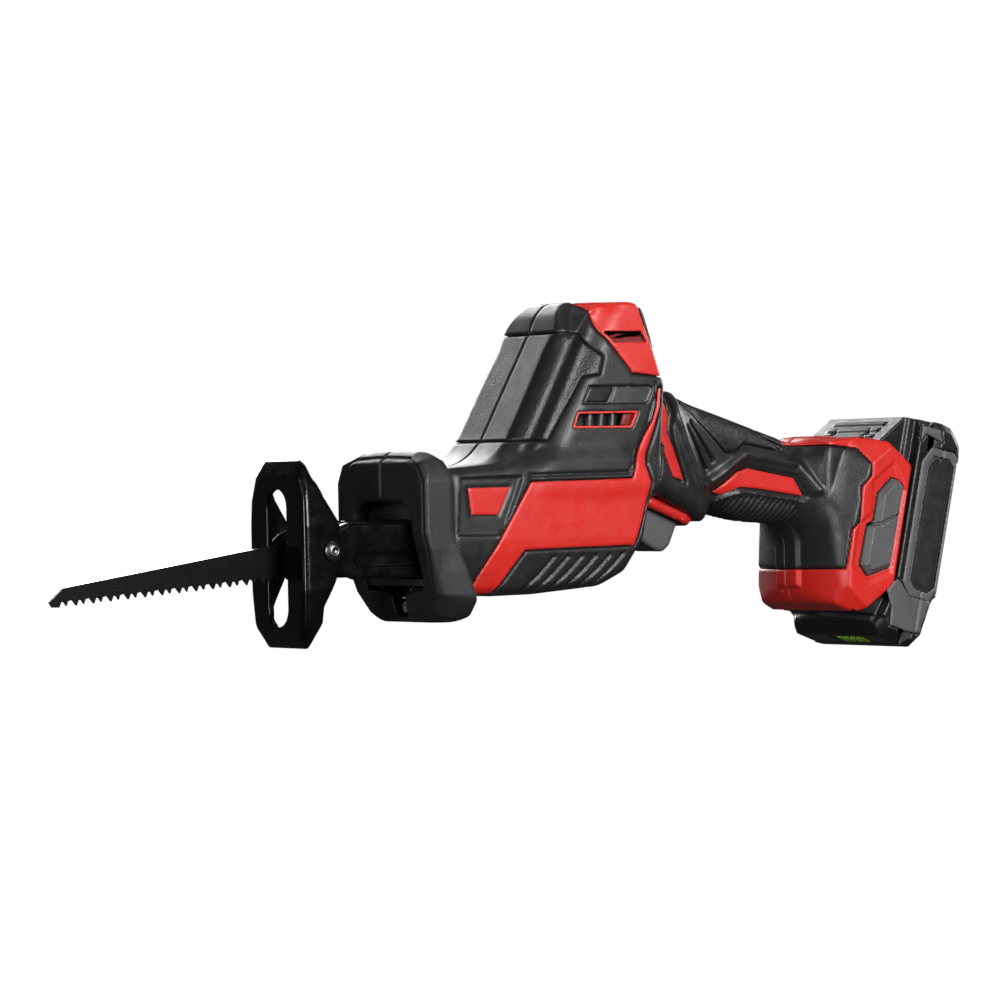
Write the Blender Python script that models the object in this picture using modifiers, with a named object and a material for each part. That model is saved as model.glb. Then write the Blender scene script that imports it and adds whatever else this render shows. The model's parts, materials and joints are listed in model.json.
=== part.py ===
"""A compact 12-volt reciprocating saw, built as separate pieces.

The saw lies along X: the blade points to -X and the battery pack is at +X. +Y is the side with the
housing screws and +Z is up. Every piece is drawn in the drawing frame, in millimetres, whose origin is
where the plunger's axis meets the shoe's working face. An empty then moves the whole saw so that the
middle of its bounding box's base is at the world origin.
"""

import math

import bmesh
import bpy
from mathutils import Matrix, Vector

MM = 0.001
SPLIT = 0.15  # half the gap between the two housing shells

# The drawing frame's origin, in the world, in mm: it puts the box's base in the middle, on the floor.
FRAME_SHIFT = (-104.97, 0.0, 45.84)

# Housing
WALL = 2.5
BODY_HALF_WIDTH = 29.5
HUMP_HALF_WIDTH = 25.5
NECK_HALF_WIDTH = 22.0
GRIP_HALF_WIDTH = 18.0
FOOT_HALF_WIDTH = 31.0
BOSS_RADIUS = 3.6
# Each housing screw's x and z, and how far its boss reaches into the shell's side wall.
SCREW_PLACES = ((67, 26.7, 28), (139, -6, 28), (150.5, 88, 22.5), (171, 51, 20.5), (222, 24, 17),
                (243, -23, 20))
SCREW_SEAT = 9.0  # Y under each screw head

# Drive train
STROKE = 12.7
CRANK_RADIUS = STROKE / 2
CRANK_CENTRE = (112.0, 6.0)
GEAR_TEETH, PINION_TEETH = 36, 10
GEAR_RADIUS = 17.0
PINION_RADIUS = GEAR_RADIUS * PINION_TEETH / GEAR_TEETH
MOTOR_TILT = math.radians(18)  # of the motor's axis from vertical, leaning to the rear
ROLLER_RADIUS = 2.75
# A tooth's half width at its tip and root, as a share of the pitch, and its height either side of the pitch
# cone.
TOOTH_TIP_HALF, TOOTH_ROOT_HALF = 0.1, 0.24
ADDENDUM, DEDENDUM = 0.75, 1.1
TOOTH_NARROW = 0.86  # size of the narrow end of the teeth against the wide end
YOKE_LEFT, YOKE_RIGHT = -4.0, 2.6  # the yoke's two faces in Y: the crown gear's teeth pass beside it
PLUNGER_RADIUS = 5.0
BLADE_THICKNESS = 1.2

# Shoe
SHOE_HALF_WIDTH = 21.5
SHEET = 2.0
SHOE_PIVOT = (12.0, 0.5)
BRACKET_HALF_WIDTH = 19.0
BRACKET_HALF_HEIGHT = 10.8

# Trigger, which slides into the handle across the handle's length
TRIGGER_LEAN = math.radians(22)
TRIGGER_HALF_WIDTH = 8.5

# Battery pack, drawn in its own two directions: u up along the rails, v to the rear
PACK_TILT = math.radians(13)
PACK_HALF_WIDTH = 31.5
RAIL_HALF_WIDTH = 26.5
PRESS_HALF_WIDTH = 25.4  # of the pack where the release buttons move in beside it
CELL_RADIUS, CELL_LENGTH = 9.0, 65.0


def uv(v, u):
    """A point of the pack's own frame as (x, z) of the drawing frame."""
    c, s = math.cos(PACK_TILT), math.sin(PACK_TILT)
    return (v * c + u * s, u * c - v * s)


def along_motor(s, side=0.0):
    """The point s mm up the motor's axis from the crank's centre, and side mm off it to the rear."""
    c, t = math.cos(MOTOR_TILT), math.sin(MOTOR_TILT)
    return (CRANK_CENTRE[0] + s * t + side * c, CRANK_CENTRE[1] + s * c - side * t)


MOTOR_AXIS = Vector((math.sin(MOTOR_TILT), 0, math.cos(MOTOR_TILT)))
CRANK_POINT = (CRANK_CENTRE[0], 0, CRANK_CENTRE[1])
AXIS_X, AXIS_Y = Vector((1, 0, 0)), Vector((0, 1, 0))


def clear_scene():
    for obj in list(bpy.data.objects):
        bpy.data.objects.remove(obj)


def material(name, colour, roughness, metallic=0.0):
    found = bpy.data.materials.new(name)
    found.use_nodes = True
    shader = found.node_tree.nodes["Principled BSDF"]
    shader.inputs["Base Color"].default_value = (*colour, 1)
    shader.inputs["Roughness"].default_value = roughness
    shader.inputs["Metallic"].default_value = metallic
    return found


def make_materials():
    return {
        "red": material("red_plastic", (0.62, 0.03, 0.03), 0.45),
        "black": material("black_plastic", (0.03, 0.03, 0.032), 0.5),
        "rubber": material("black_rubber", (0.025, 0.025, 0.026), 0.7),
        "grey": material("grey_plastic", (0.12, 0.12, 0.125), 0.5),
        "black_steel": material("black_steel", (0.015, 0.015, 0.016), 0.35, 0.6),
        "steel": material("bright_steel", (0.55, 0.55, 0.56), 0.3, 1.0),
        "aluminium": material("cast_aluminium", (0.6, 0.6, 0.6), 0.45, 1.0),
        "bronze": material("sintered_bronze", (0.45, 0.3, 0.12), 0.5, 1.0),
        "copper": material("copper", (0.7, 0.3, 0.15), 0.3, 1.0),
        "board": material("circuit_board", (0.02, 0.16, 0.06), 0.5),
        "cell": material("cell_wrap", (0.05, 0.2, 0.45), 0.4),
        "lens": material("clear_lens", (0.85, 0.85, 0.82), 0.1),
        "red_lead": material("red_lead", (0.6, 0.02, 0.02), 0.5),
    }


def inset(outline, depth):
    """The outline moved inwards by depth, edge by edge."""
    area = sum(a[0] * b[1] - b[0] * a[1] for a, b in zip(outline, outline[1:] + outline[:1]))
    side = 1 if area > 0 else -1
    moved = []
    for i, corner in enumerate(outline):
        at = Vector(corner)
        back = (at - Vector(outline[i - 1])).normalized()
        ahead = (Vector(outline[(i + 1) % len(outline)]) - at).normalized()
        inward = Vector((-(back.y + ahead.y), back.x + ahead.x)).normalized() * side
        cosine = max(0.3, inward.dot(Vector((-back.y, back.x)) * side))
        moved.append(tuple(at + inward * (depth / cosine)))
    return moved


class Saw:
    """Holds the collection, the materials and the empty that every piece is placed under."""

    def __init__(self):
        self.collection = bpy.data.collections.new("reciprocating_saw")
        bpy.context.scene.collection.children.link(self.collection)
        self.materials = make_materials()
        self.frame = bpy.data.objects.new("saw_frame", None)
        self.frame.location = Vector(FRAME_SHIFT) * MM
        self.collection.objects.link(self.frame)

    def add(self, name, bm, finish, origin=(0, 0, 0)):
        """Makes an object of a bmesh drawn in mm about origin, placed there in the drawing frame."""
        bmesh.ops.recalc_face_normals(bm, faces=bm.faces)
        bmesh.ops.scale(bm, vec=(MM, MM, MM), verts=bm.verts)
        mesh = bpy.data.meshes.new(name)
        bm.to_mesh(mesh)
        bm.free()
        mesh.materials.append(self.materials[finish])
        mesh.shade_smooth()
        mesh.set_sharp_from_angle(angle=math.radians(35))
        obj = bpy.data.objects.new(name, mesh)
        obj.parent = self.frame
        obj.location = Vector(origin) * MM
        self.collection.objects.link(obj)
        return obj

    def prism(self, name, outline, low, high, finish="black", bevel=0.0, steps=2, origin=(0, 0, 0)):
        """A solid with this (x, z) outline from y = low to y = high, its edge at high bevelled."""
        bm = bmesh.new()
        base = Vector(origin)
        verts = [bm.verts.new(Vector((x, low, z)) - base) for x, z in outline]
        face = bm.faces.new(verts)
        made = bmesh.ops.extrude_face_region(bm, geom=[face])
        top = [v for v in made["geom"] if isinstance(v, bmesh.types.BMVert)]
        bmesh.ops.translate(bm, verts=top, vec=(0, high - low, 0))
        if bevel:
            rim = [e for e in bm.edges if all(v in top for v in e.verts)]
            bmesh.ops.bevel(bm, geom=rim, offset=bevel, segments=steps, affect="EDGES", profile=0.5)
        return self.add(name, bm, finish, origin)

    def both_sides(self, name, outline, half, finish="black", bevel=0.0, steps=2, origin=(0, 0, 0)):
        """A solid with this (x, z) outline from y = -half to y = half, with both rims bevelled."""
        bm = bmesh.new()
        base = Vector(origin)
        face = bm.faces.new([bm.verts.new(Vector((x, -half, z)) - base) for x, z in outline])
        made = bmesh.ops.extrude_face_region(bm, geom=[face])
        top = [v for v in made["geom"] if isinstance(v, bmesh.types.BMVert)]
        bmesh.ops.translate(bm, verts=top, vec=(0, 2 * half, 0))
        if bevel:
            rims = [e for e in bm.edges if abs(e.verts[0].co.y - e.verts[1].co.y) < half]
            bmesh.ops.bevel(bm, geom=rims, offset=bevel, segments=steps, affect="EDGES", profile=0.5)
        return self.add(name, bm, finish, origin)

    def box(self, name, low, high, finish="black", bevel=0.0, origin=None, tilt=0.0):
        """A box between two corners. tilt turns it about its middle, round Y."""
        middle = (Vector(low) + Vector(high)) / 2
        base = middle if origin is None else Vector(origin)
        bm = bmesh.new()
        bmesh.ops.create_cube(bm, size=1)
        bmesh.ops.scale(bm, vec=Vector(high) - Vector(low), verts=bm.verts)
        if bevel:
            bmesh.ops.bevel(bm, geom=bm.edges[:], offset=bevel, segments=1, affect="EDGES", profile=0.5)
        bmesh.ops.rotate(bm, verts=bm.verts, matrix=Matrix.Rotation(tilt, 3, "Y"))
        bmesh.ops.translate(bm, verts=bm.verts, vec=middle - base)
        return self.add(name, bm, finish, base)

    def rod(self, name, start, end, radius, finish="steel", sides=16, end_radius=None):
        """A cylinder or cone from start to end, with its origin at start."""
        start, end = Vector(start), Vector(end)
        bm = bmesh.new()
        bmesh.ops.create_cone(
            bm, cap_ends=True, segments=sides, radius1=radius,
            radius2=radius if end_radius is None else end_radius, depth=(end - start).length,
        )
        turn = (end - start).to_track_quat("Z", "Y").to_matrix()
        bmesh.ops.rotate(bm, verts=bm.verts, matrix=turn)
        bmesh.ops.translate(bm, verts=bm.verts, vec=(end - start) / 2)
        return self.add(name, bm, finish, start)

    def turned(self, name, profile, centre, axis, finish="steel", steps=24):
        """A turned piece: the closed (radius, height) profile spun about the axis through centre."""
        area = sum(a[0] * b[1] - b[0] * a[1] for a, b in zip(profile, profile[1:] + profile[:1]))
        loop = profile if area < 0 else profile[::-1]
        mesh = bpy.data.meshes.new(name)
        solid = min(r for r, _ in loop) < 1e-6
        if solid:
            first = next(i for i in range(len(loop)) if loop[i - 1][0] < 1e-6 and loop[i][0] < 1e-6)
            loop = loop[first:] + loop[:first]
        edges = [(i, i + 1) for i in range(len(loop) - 1)] + ([] if solid else [(len(loop) - 1, 0)])
        mesh.from_pydata([(r * MM, 0, h * MM) for r, h in loop], edges, [])
        mesh.materials.append(self.materials[finish])
        obj = bpy.data.objects.new(name, mesh)
        obj.parent = self.frame
        obj.location = Vector(centre) * MM
        obj.rotation_mode = "QUATERNION"
        obj.rotation_quaternion = Vector(axis).to_track_quat("Z", "Y")
        self.collection.objects.link(obj)
        screw = obj.modifiers.new("turn", "SCREW")
        screw.steps = steps
        screw.render_steps = steps
        screw.use_merge_vertices = True
        screw.merge_threshold = 0.00001
        screw.use_smooth_shade = True
        return obj

    def coil(self, name, start, end, radius, turns, wire, sides=8):
        """A coil spring of round wire, from start to end, by its turns."""
        start, end = Vector(start), Vector(end)
        turn = (end - start).to_track_quat("Z", "Y")
        points = []
        for i in range(turns * sides + 1):
            angle = i * math.tau / sides
            height = (end - start).length * i / (turns * sides)
            points.append(start + turn @ Vector((radius * math.cos(angle), radius * math.sin(angle), height)))
        return self.wire(name, points, wire, "steel")

    def tube(self, name, route, radius, finish):
        """A lead of this radius along a smooth curve through the route's (x, y, z) points."""
        return self.wire(name, smooth_route(route), radius, finish)

    def wire(self, name, points, radius, finish):
        """A round wire through these points, with its ends capped."""
        curve = bpy.data.curves.new(name, "CURVE")
        curve.dimensions = "3D"
        curve.bevel_depth = radius * MM
        curve.bevel_resolution = 1
        curve.use_fill_caps = True
        spline = curve.splines.new("POLY")
        spline.points.add(len(points) - 1)
        for place, point in zip(spline.points, points):
            place.co = (*(point * MM), 1)
        curve.materials.append(self.materials[finish])
        obj = bpy.data.objects.new(name, curve)
        obj.parent = self.frame
        self.collection.objects.link(obj)
        return obj


def smooth_route(route, steps=4):
    """Points on a Catmull-Rom curve through the route."""
    at = [Vector(p) for p in route]
    ends = [2 * at[0] - at[1], *at, 2 * at[-1] - at[-2]]
    points = []
    for a, b, c, d in zip(ends, ends[1:], ends[2:], ends[3:]):
        for step in range(steps):
            t = step / steps
            point = 2 * b + (c - a) * t + (2 * a - 5 * b + 4 * c - d) * t**2
            points.append((point + (3 * b - a - 3 * c + d) * t**3) / 2)
    return [*points, at[-1]]


def bake(obj):
    """Replaces the object's mesh by its evaluated one, and drops its modifiers."""
    bpy.context.view_layer.update()
    graph = bpy.context.evaluated_depsgraph_get()
    mesh = bpy.data.meshes.new_from_object(obj.evaluated_get(graph))
    obj.modifiers.clear()
    obj.data = mesh


def combine(target, others, operation):
    """Joins, cuts or intersects target with each of the others in turn, and removes the others."""
    for other in others:
        step = target.modifiers.new(operation.lower(), "BOOLEAN")
        step.operation = operation
        step.object = other
        bake(target)
        bpy.data.objects.remove(other)
    return target


def join(target, *others):
    return combine(target, others, "UNION")


def cut(target, *others):
    return combine(target, others, "DIFFERENCE")


def mirrored(saw, source, name):
    """A copy of a piece reflected in the saw's middle plane."""
    mesh = source.data.copy()
    mesh.transform(Matrix.Scale(-1, 4, AXIS_Y))
    mesh.flip_normals()
    obj = bpy.data.objects.new(name, mesh)
    obj.parent = saw.frame
    x, y, z = source.location
    obj.location = (x, -y, z)
    saw.collection.objects.link(obj)
    return obj


# --- Housing -------------------------------------------------------------------------------------

TRIGGER_FACE = (170.5, 13.6)  # x and z at the middle of the trigger's mouth
RELEASE_OUTLINE = [(269.5, 23.1), (272.8, 22), (274.9, 19.4), (267.2, -12.7), (256, -15.8), (252.6, -11.3),
                   (256.6, 4.2), (260.0, 6.2), (262.5, 17.2)]
PACK_FRONT = [(251.9, 24.5), (251.9, 97.0), (263, 109.8), (275.6, 110.2), (275.6, 18.4), (265.8, 19.8),
              (262.4, 24.5)]
PACK_REAR = [(276.0, 18.2), (281, 18.2), (286, 24), (288.8, 38), (291.2, 41.5), (291.2, 99), (290.6, 103.5),
             (285, 109.6), (280, 110.5), (276.0, 110.5)]
BODY_OUTLINE = [(59, -19), (101, -18.6), (131, -16.3), (142, -11), (150, 3), (152, 14), (158, 30),
                (140, 36), (59, 30.5)]
HUMP_OUTLINE = [(78, 20), (84, 32), (92.5, 41.4), (115, 81.5), (119, 90), (124, 94.3), (150, 94.3),
                (153.5, 92), (161.8, 62), (158, 20)]
NECK_OUTLINE = [(150, 24), (152, 14), (159.5, 16.5), (163, 18.6), (182, 10.8), (187.5, 8.5), (194, 14),
                (200, 50), (176, 57.5), (163, 62), (155, 66)]
GRIP_OUTLINE = [(180, 20), (191, 13.3), (203.4, 9.1), (214.9, 6.7), (226, 5.7), (252, 4), (252, 38),
                (240.6, 37), (223.9, 42.3), (203.7, 49), (176, 57.5), (170, 40)]
FOOT_OUTLINE = [(240, 12), (238, -12), (238, -22), (242, -29), (250, -31), (256.5, -29), (270, -20),
                (280.5, 28), (269.7, 37), (258.7, 40.2), (246, 38.8)]
SHELL_BLOCKS = (
    (BODY_OUTLINE, BODY_HALF_WIDTH, 5.0, 2),
    (HUMP_OUTLINE, HUMP_HALF_WIDTH, 6.0, 3),
    (NECK_OUTLINE, NECK_HALF_WIDTH, 6.0, 2),
    (GRIP_OUTLINE, GRIP_HALF_WIDTH, 9.0, 3),
    (FOOT_OUTLINE, FOOT_HALF_WIDTH, 4.0, 1),
)


def half_shell(saw, name):
    """The +Y half of the housing: its blocks joined, then hollowed by the same blocks less the wall."""
    blocks = [
        saw.prism(f"block_{i}", outline, SPLIT, half, "red", bevel, steps)
        for i, (outline, half, bevel, steps) in enumerate(SHELL_BLOCKS)
    ]
    hollows = [
        saw.prism(f"hollow_{i}", inset(outline, WALL), -1, half - WALL, "red", bevel * 0.6, 1)
        for i, (outline, half, bevel, _) in enumerate(SHELL_BLOCKS[:-1])
    ]
    shell = join(*blocks)
    cut(shell, *hollows)
    shell.name = name
    return shell


def pack_channel(saw):
    """What the foot leaves open for the pack: a channel along u between its two side walls."""
    open_side = [uv(v, u) for v, u in ((251, 0), (251, 125), (300, 125), (300, 0))]
    return saw.both_sides("channel", open_side, RAIL_HALF_WIDTH + 0.8)


def vent_cutters(saw, side):
    """The two side vents behind the motor and the slot in the rear vent, on one side."""
    upper = [(126.2, 61.4), (155.5, 61.4), (152, 54.3), (122.7, 54.3)]
    lower = [(120.3, 51.8), (149, 51.8), (145.5, 44.8), (117, 44.8)]
    rear = [(136, 82.4), (151.7, 82.4), (153.9, 78.5), (139, 78.5)]
    reach = (15, 34) if side > 0 else (-34, -15)
    return [saw.prism(f"vent_{i}", inset(shape, 0.8), *reach) for i, shape in enumerate((upper, lower, rear))]


def housing(saw):
    """The two clamshell halves. The right one has the screws' counterbores, the left their bosses."""
    right = half_shell(saw, "housing_right")
    pocket = [uv(v, u) for v, u in ((237, 65.5), (237, 92.5), (251.5, 92.5), (251.5, 65.5))]
    cut(
        right,
        pack_channel(saw),
        saw.both_sides("terminal_pocket", pocket, 16.4),
        saw.both_sides("bezel_seat",
                       [along_trigger(a, b) for a,
                       b in ((-12.9, -9), (12.9, -9), (12.9, 0.9), (-12.9, 0.9))], 12.3),
        saw.box("nose_mouth", (50, -24.5, -14.5), (66, 24.5, 24), "red"),
        saw.both_sides("trigger_mouth",
                       [along_trigger(a, b) for a, b in ((-11.2, -8), (11.2, -8), (11.2, 14), (-11.2, 14))],
                       10.2),
        saw.prism("lock_hole", [(157.2, 24.5), (162, 24.5), (164, 38.5), (159.5, 38.5)], -30, 30),
        saw.prism("release_window", inset(RELEASE_OUTLINE, -0.5), 20, 40),
    )
    bosses = [
        saw.rod(f"boss_{i}", (x, SPLIT, z), (x, reach, z), BOSS_RADIUS, "red", 12)
        for i, (x, z, reach) in enumerate(SCREW_PLACES)
    ]
    join(right, *bosses)
    left = mirrored(saw, right, "housing_left")
    for i, (x, z, _) in enumerate(SCREW_PLACES):
        cut(right, saw.rod(f"hole_{i}", (x, -2, z), (x, 40, z), 1.9, sides=10))
        cut(right, saw.rod(f"sink_{i}", (x, SCREW_SEAT, z), (x, 40, z), 2.7, sides=12))
        cut(left, saw.rod(f"pilot_{i}", (x, 2, z), (x, -9.5, z), 1.6, sides=10))
    cut(right, *vent_cutters(saw, 1))
    cut(left, *vent_cutters(saw, -1))
    return left, right




def housing_screws(saw):
    for i, (x, z, _) in enumerate(SCREW_PLACES, 1):
        profile = [(0, 2.6), (1.6, 2.6), (2.3, 1.8), (2.3, 0.3), (1.3, 0.3), (1.3, -17.5), (0, -18.2)]
        saw.turned(f"housing_screw_{i}", profile, (x, SCREW_SEAT, z), AXIS_Y, "steel", 10)


def nose_boot(saw):
    """The thick rubber boot round the nose, swept back at its lower half, with the lamp's notch."""
    side = [(46.5, 6), (46.5, 33), (51.5, 38), (56, 37), (58.7, 30), (58.7, 6.5), (68.3, -20), (68.3, -25),
            (65, -28), (55.3, -28)]
    boot = saw.both_sides("nose_boot", side, 33, "rubber", 3.0, 2)
    front = [(0, 38), (24, 38), (33.2, 27), (33.2, 3), (29.5, -17), (20, -28.2)]
    outline = [*front, *[(-y, z) for y, z in front[:0:-1]]]
    trim = bmesh.new()
    face = trim.faces.new([trim.verts.new((40, y, z)) for y, z in outline])
    made = bmesh.ops.extrude_face_region(trim, geom=[face])
    bmesh.ops.translate(trim, verts=[v for v in made["geom"] if isinstance(v, bmesh.types.BMVert)],
                        vec=(35, 0, 0))
    combine(boot, [saw.add("boot_trim", trim, "rubber")], "INTERSECT")
    cut(
        boot,
        saw.box("mouth", (30, -20.5, -15), (80, 20.5, 18), bevel=3),
        saw.box("lamp_notch", (30, -5, -25), (80, 5, -10)),
        saw.box("body_seat", (58.7, -29.8, -19.3), (90, 29.8, 33)),
        saw.box("case_seat", (52.4, -23.3, -15.5), (90, 23.3, 22.3)),
    )
    return boot


# --- Gear train and motor ------------------------------------------------------------------------


def bevel_gear(saw, name, teeth, pitch_radius, cone_depth, axis, towards, phase, back):
    """A straight bevel gear whose pitch cone's apex is the crank's centre.

    Its toothed outline is drawn at the cone's wide end, cone_depth from the apex along the axis, and
    shrunk towards the apex for the narrow end. A tooth points towards the given direction, or with a
    phase of a half, a gap does. back is the thickness of the solid behind the teeth.
    """
    pitch = math.tau / teeth
    slope = math.hypot(pitch_radius, cone_depth)
    outward, inward = cone_depth / slope, -pitch_radius / slope
    turn = Vector(axis).to_track_quat("Z", "Y")
    facing = turn.inverted() @ Vector(towards)
    first = math.atan2(facing.y, facing.x) + phase * pitch
    profile = ((-TOOTH_ROOT_HALF, -DEDENDUM), (-TOOTH_TIP_HALF, ADDENDUM), (TOOTH_TIP_HALF, ADDENDUM),
               (TOOTH_ROOT_HALF, -DEDENDUM))
    bm = bmesh.new()

    def toothed(scale):
        verts = []
        for tooth in range(teeth):
            for share, offset in profile:
                angle = first + (tooth + share) * pitch
                r = (pitch_radius + outward * offset) * scale
                h = (cone_depth + inward * offset) * scale
                verts.append(bm.verts.new((r * math.cos(angle), r * math.sin(angle), h)))
        return verts

    def plain(like, radius, height):
        return [bm.verts.new((*(v.co.xy.normalized() * radius), height)) for v in like]

    root_radius = pitch_radius - outward * DEDENDUM
    root_height = cone_depth - inward * DEDENDUM
    wide, thin = toothed(1.0), toothed(TOOTH_NARROW)
    inner = plain(thin, root_radius * TOOTH_NARROW - 0.5, root_height * TOOTH_NARROW)
    foot = plain(wide, root_radius, root_height + back)
    for one, other in ((foot, wide), (wide, thin), (thin, inner)):
        for i in range(len(one)):
            bm.faces.new((one[i - 1], one[i], other[i], other[i - 1]))
    bm.faces.new(inner)
    bm.faces.new(foot[::-1])
    bmesh.ops.rotate(bm, verts=bm.verts, matrix=turn.to_matrix())
    return saw.add(name, bm, "steel", CRANK_POINT)


def crank(saw):
    """The crown gear with its axle, the crank pin and the roller that drives the plunger's yoke."""
    x, z = CRANK_CENTRE
    gear = bevel_gear(saw, "crank_gear", GEAR_TEETH, GEAR_RADIUS, PINION_RADIUS, AXIS_Y, MOTOR_AXIS, 0.0, 2.5)
    face = PINION_RADIUS + 1.0
    pin_z = z - CRANK_RADIUS
    join(
        gear,
        saw.rod("axle", (x, face, z), (x, 19.4, z), 3.5, sides=16),
        saw.rod("pin", (x, face + 1, pin_z), (x, YOKE_LEFT - 0.4, pin_z), 1.6, sides=12),
    )
    ring = [(ROLLER_RADIUS, YOKE_RIGHT), (1.85, YOKE_RIGHT), (1.85, YOKE_LEFT), (ROLLER_RADIUS, YOKE_LEFT)]
    saw.turned("crank_roller", ring, (x, 0, pin_z), AXIS_Y, "steel", 16)
    bearing = [(8.0, 19.3), (3.8, 19.3), (3.8, 14.3), (8.0, 14.3)]
    saw.turned("gear_bearing", bearing, (x, 0, z), AXIS_Y, "steel", 20)


def plunger(saw):
    """The rod that carries the blade, with the slotted yoke that the crank's roller runs in."""
    x, z = CRANK_CENTRE
    slack = 0.2105 * CRANK_RADIUS + 0.35  # the yoke's play, for a roller driven at a constant ratio
    slot_half = ROLLER_RADIUS + slack
    slot_high = CRANK_RADIUS + ROLLER_RADIUS + 0.35
    rod = saw.rod("plunger", (38.5, 0, 0), (x - slot_half - 1, 0, 0), PLUNGER_RADIUS, sides=20)
    yoke = saw.box(
        "yoke", (x - slot_half - 2.6, YOKE_LEFT, z - slot_high - 2),
            (x + slot_half + 2.6, YOKE_RIGHT, z + slot_high + 2),
        bevel=0.8,
    )
    join(rod, yoke)
    cut(
        rod,
        saw.box("gear_flat", (87.5, YOKE_RIGHT, -9), (130, 9, 20)),
        saw.box("slot", (x - slot_half, -8, z - slot_high), (x + slot_half, 8, z + slot_high)),
        saw.box("tang_slot", (30, -BLADE_THICKNESS / 2 - 0.3, -20), (52.3, BLADE_THICKNESS / 2 + 0.3, 20)),
    )
    collar = [(7.6, 46.8), (5.3, 46.8), (5.3, 39.8), (7.6, 39.8)]
    clamp = saw.turned("clamp_body", collar, (0, 0, 0), AXIS_X, "steel", 20)
    bake(clamp)
    cut(clamp,
        saw.box("clamp_slot", (30, -BLADE_THICKNESS / 2 - 0.3, -6.4), (45.3, BLADE_THICKNESS / 2 + 0.3, 6.4)))
    sleeve = [(8.7, 38.3), (8.7, 45.3), (7.9, 45.3), (7.9, 39.1), (6.8, 39.1), (6.8, 38.3)]
    saw.turned("clamp_collar", sleeve, (0, 0, 0), AXIS_X, "black_steel", 20)
    saw.coil("clamp_spring", (47.7, 0, 0), (49.6, 0, 0), 6.4, 2, 0.4, 12)


def blade(saw):
    """A tapered wood-cutting blade: paired teeth along its lower edge and a narrow tang at its rear."""
    tip_x, heel_x, tang_end = -96.5, 35.0, 51.5
    tip_top, heel_top = (-90.5, -10.4), (30.0, 7.6)
    tip_low, heel_low = (-94.0, -17.6), (30.0, -8.6)
    teeth = []
    pair = 7.2
    count = int((heel_low[0] - 8 - tip_low[0]) / pair)
    for i in range(count):
        x = tip_low[0] + 1.5 + i * pair
        for dx, rise in ((0.0, 0.0), (0.9, 2.0), (2.2, 1.7), (3.1, 0.3), (3.6, 1.9), (5.4, 2.3)):
            share = (x + dx - tip_low[0]) / (heel_low[0] - tip_low[0])
            teeth.append((x + dx, tip_low[1] + (heel_low[1] - tip_low[1]) * share + rise))
    outline = [tip_top, (tip_x, -15.5), (tip_x + 1.2, -17.4), *teeth, (27.0, heel_low[1] + 0.4),
               (heel_x, -5.0), (37.0, -3.9), (tang_end, -3.9), (tang_end, 3.9), (37.0, 3.9), heel_top]
    return saw.both_sides("saw_blade", outline, BLADE_THICKNESS / 2, "black_steel")


def gearcase(saw):
    """The cast case round the crank, with its nose where the shoe's bracket slides, and its cover."""
    x, z = CRANK_CENTRE
    side = [(61.2, -14), (126, -14), (134.5, -11), (134.5, 22.8), (61.2, 22.8)]
    case = saw.prism("gearcase", side, -20, 21.5, "aluminium")
    join(
        case,
        saw.box("nose", (53, -22.8, -14), (64, 22.8, 22), "aluminium"),
        saw.prism("crown", [(90, 20), (134, 20), along_motor(31, 14), along_motor(31, -14)], -20, 21.5,
                  "aluminium"),
    )
    cut(
        case,
        saw.box("chamber", (78, -30, -11.5), (132, 14, 20.5)),
        saw.rod("gear_room", (x, 2.4, z), (x, 14.0, z), GEAR_RADIUS + 1.5, sides=28),
        saw.prism("crown_room", [(96, 15), (128, 15), along_motor(24, 10), along_motor(24, -10)], -16.5, 14),
        saw.rod("motor_mouth", (along_motor(20)[0], 0, along_motor(20)[1]),
                (along_motor(40)[0], 0, along_motor(40)[1]), 8.4, sides=24),
        saw.rod("bearing_seat", (x, 13, z), (x, 20, z), 8.3, sides=24),
        saw.rod("rod_hole", (50, 0, 0), (80, 0, 0), 8.3, sides=20),
        saw.box("bracket_room", (40, -BRACKET_HALF_WIDTH - 0.4, -BRACKET_HALF_HEIGHT - 0.5),
                (73.5, BRACKET_HALF_WIDTH + 0.4, BRACKET_HALF_HEIGHT + 0.5)),
    )
    saw.box("gearcase_cover", (78.4, -19.5, -11.1), (131.6, -16.8, 20.1), "aluminium")


def bushings(saw):
    """The sintered bush that guides the plunger, its sleeve and the felt that keeps its grease in."""
    carrier = [(7.9, 75.8), (5.1, 75.8), (5.1, 59.0), (7.9, 59.0)]
    saw.turned("plunger_bushing", carrier, (0, 0, 0), AXIS_X, "bronze", 20)
    felt = [(7.9, 58.7), (5.3, 58.7), (5.3, 57.0), (7.9, 57.0)]
    saw.turned("plunger_seal", felt, (0, 0, 0), AXIS_X, "rubber", 20)


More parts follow.
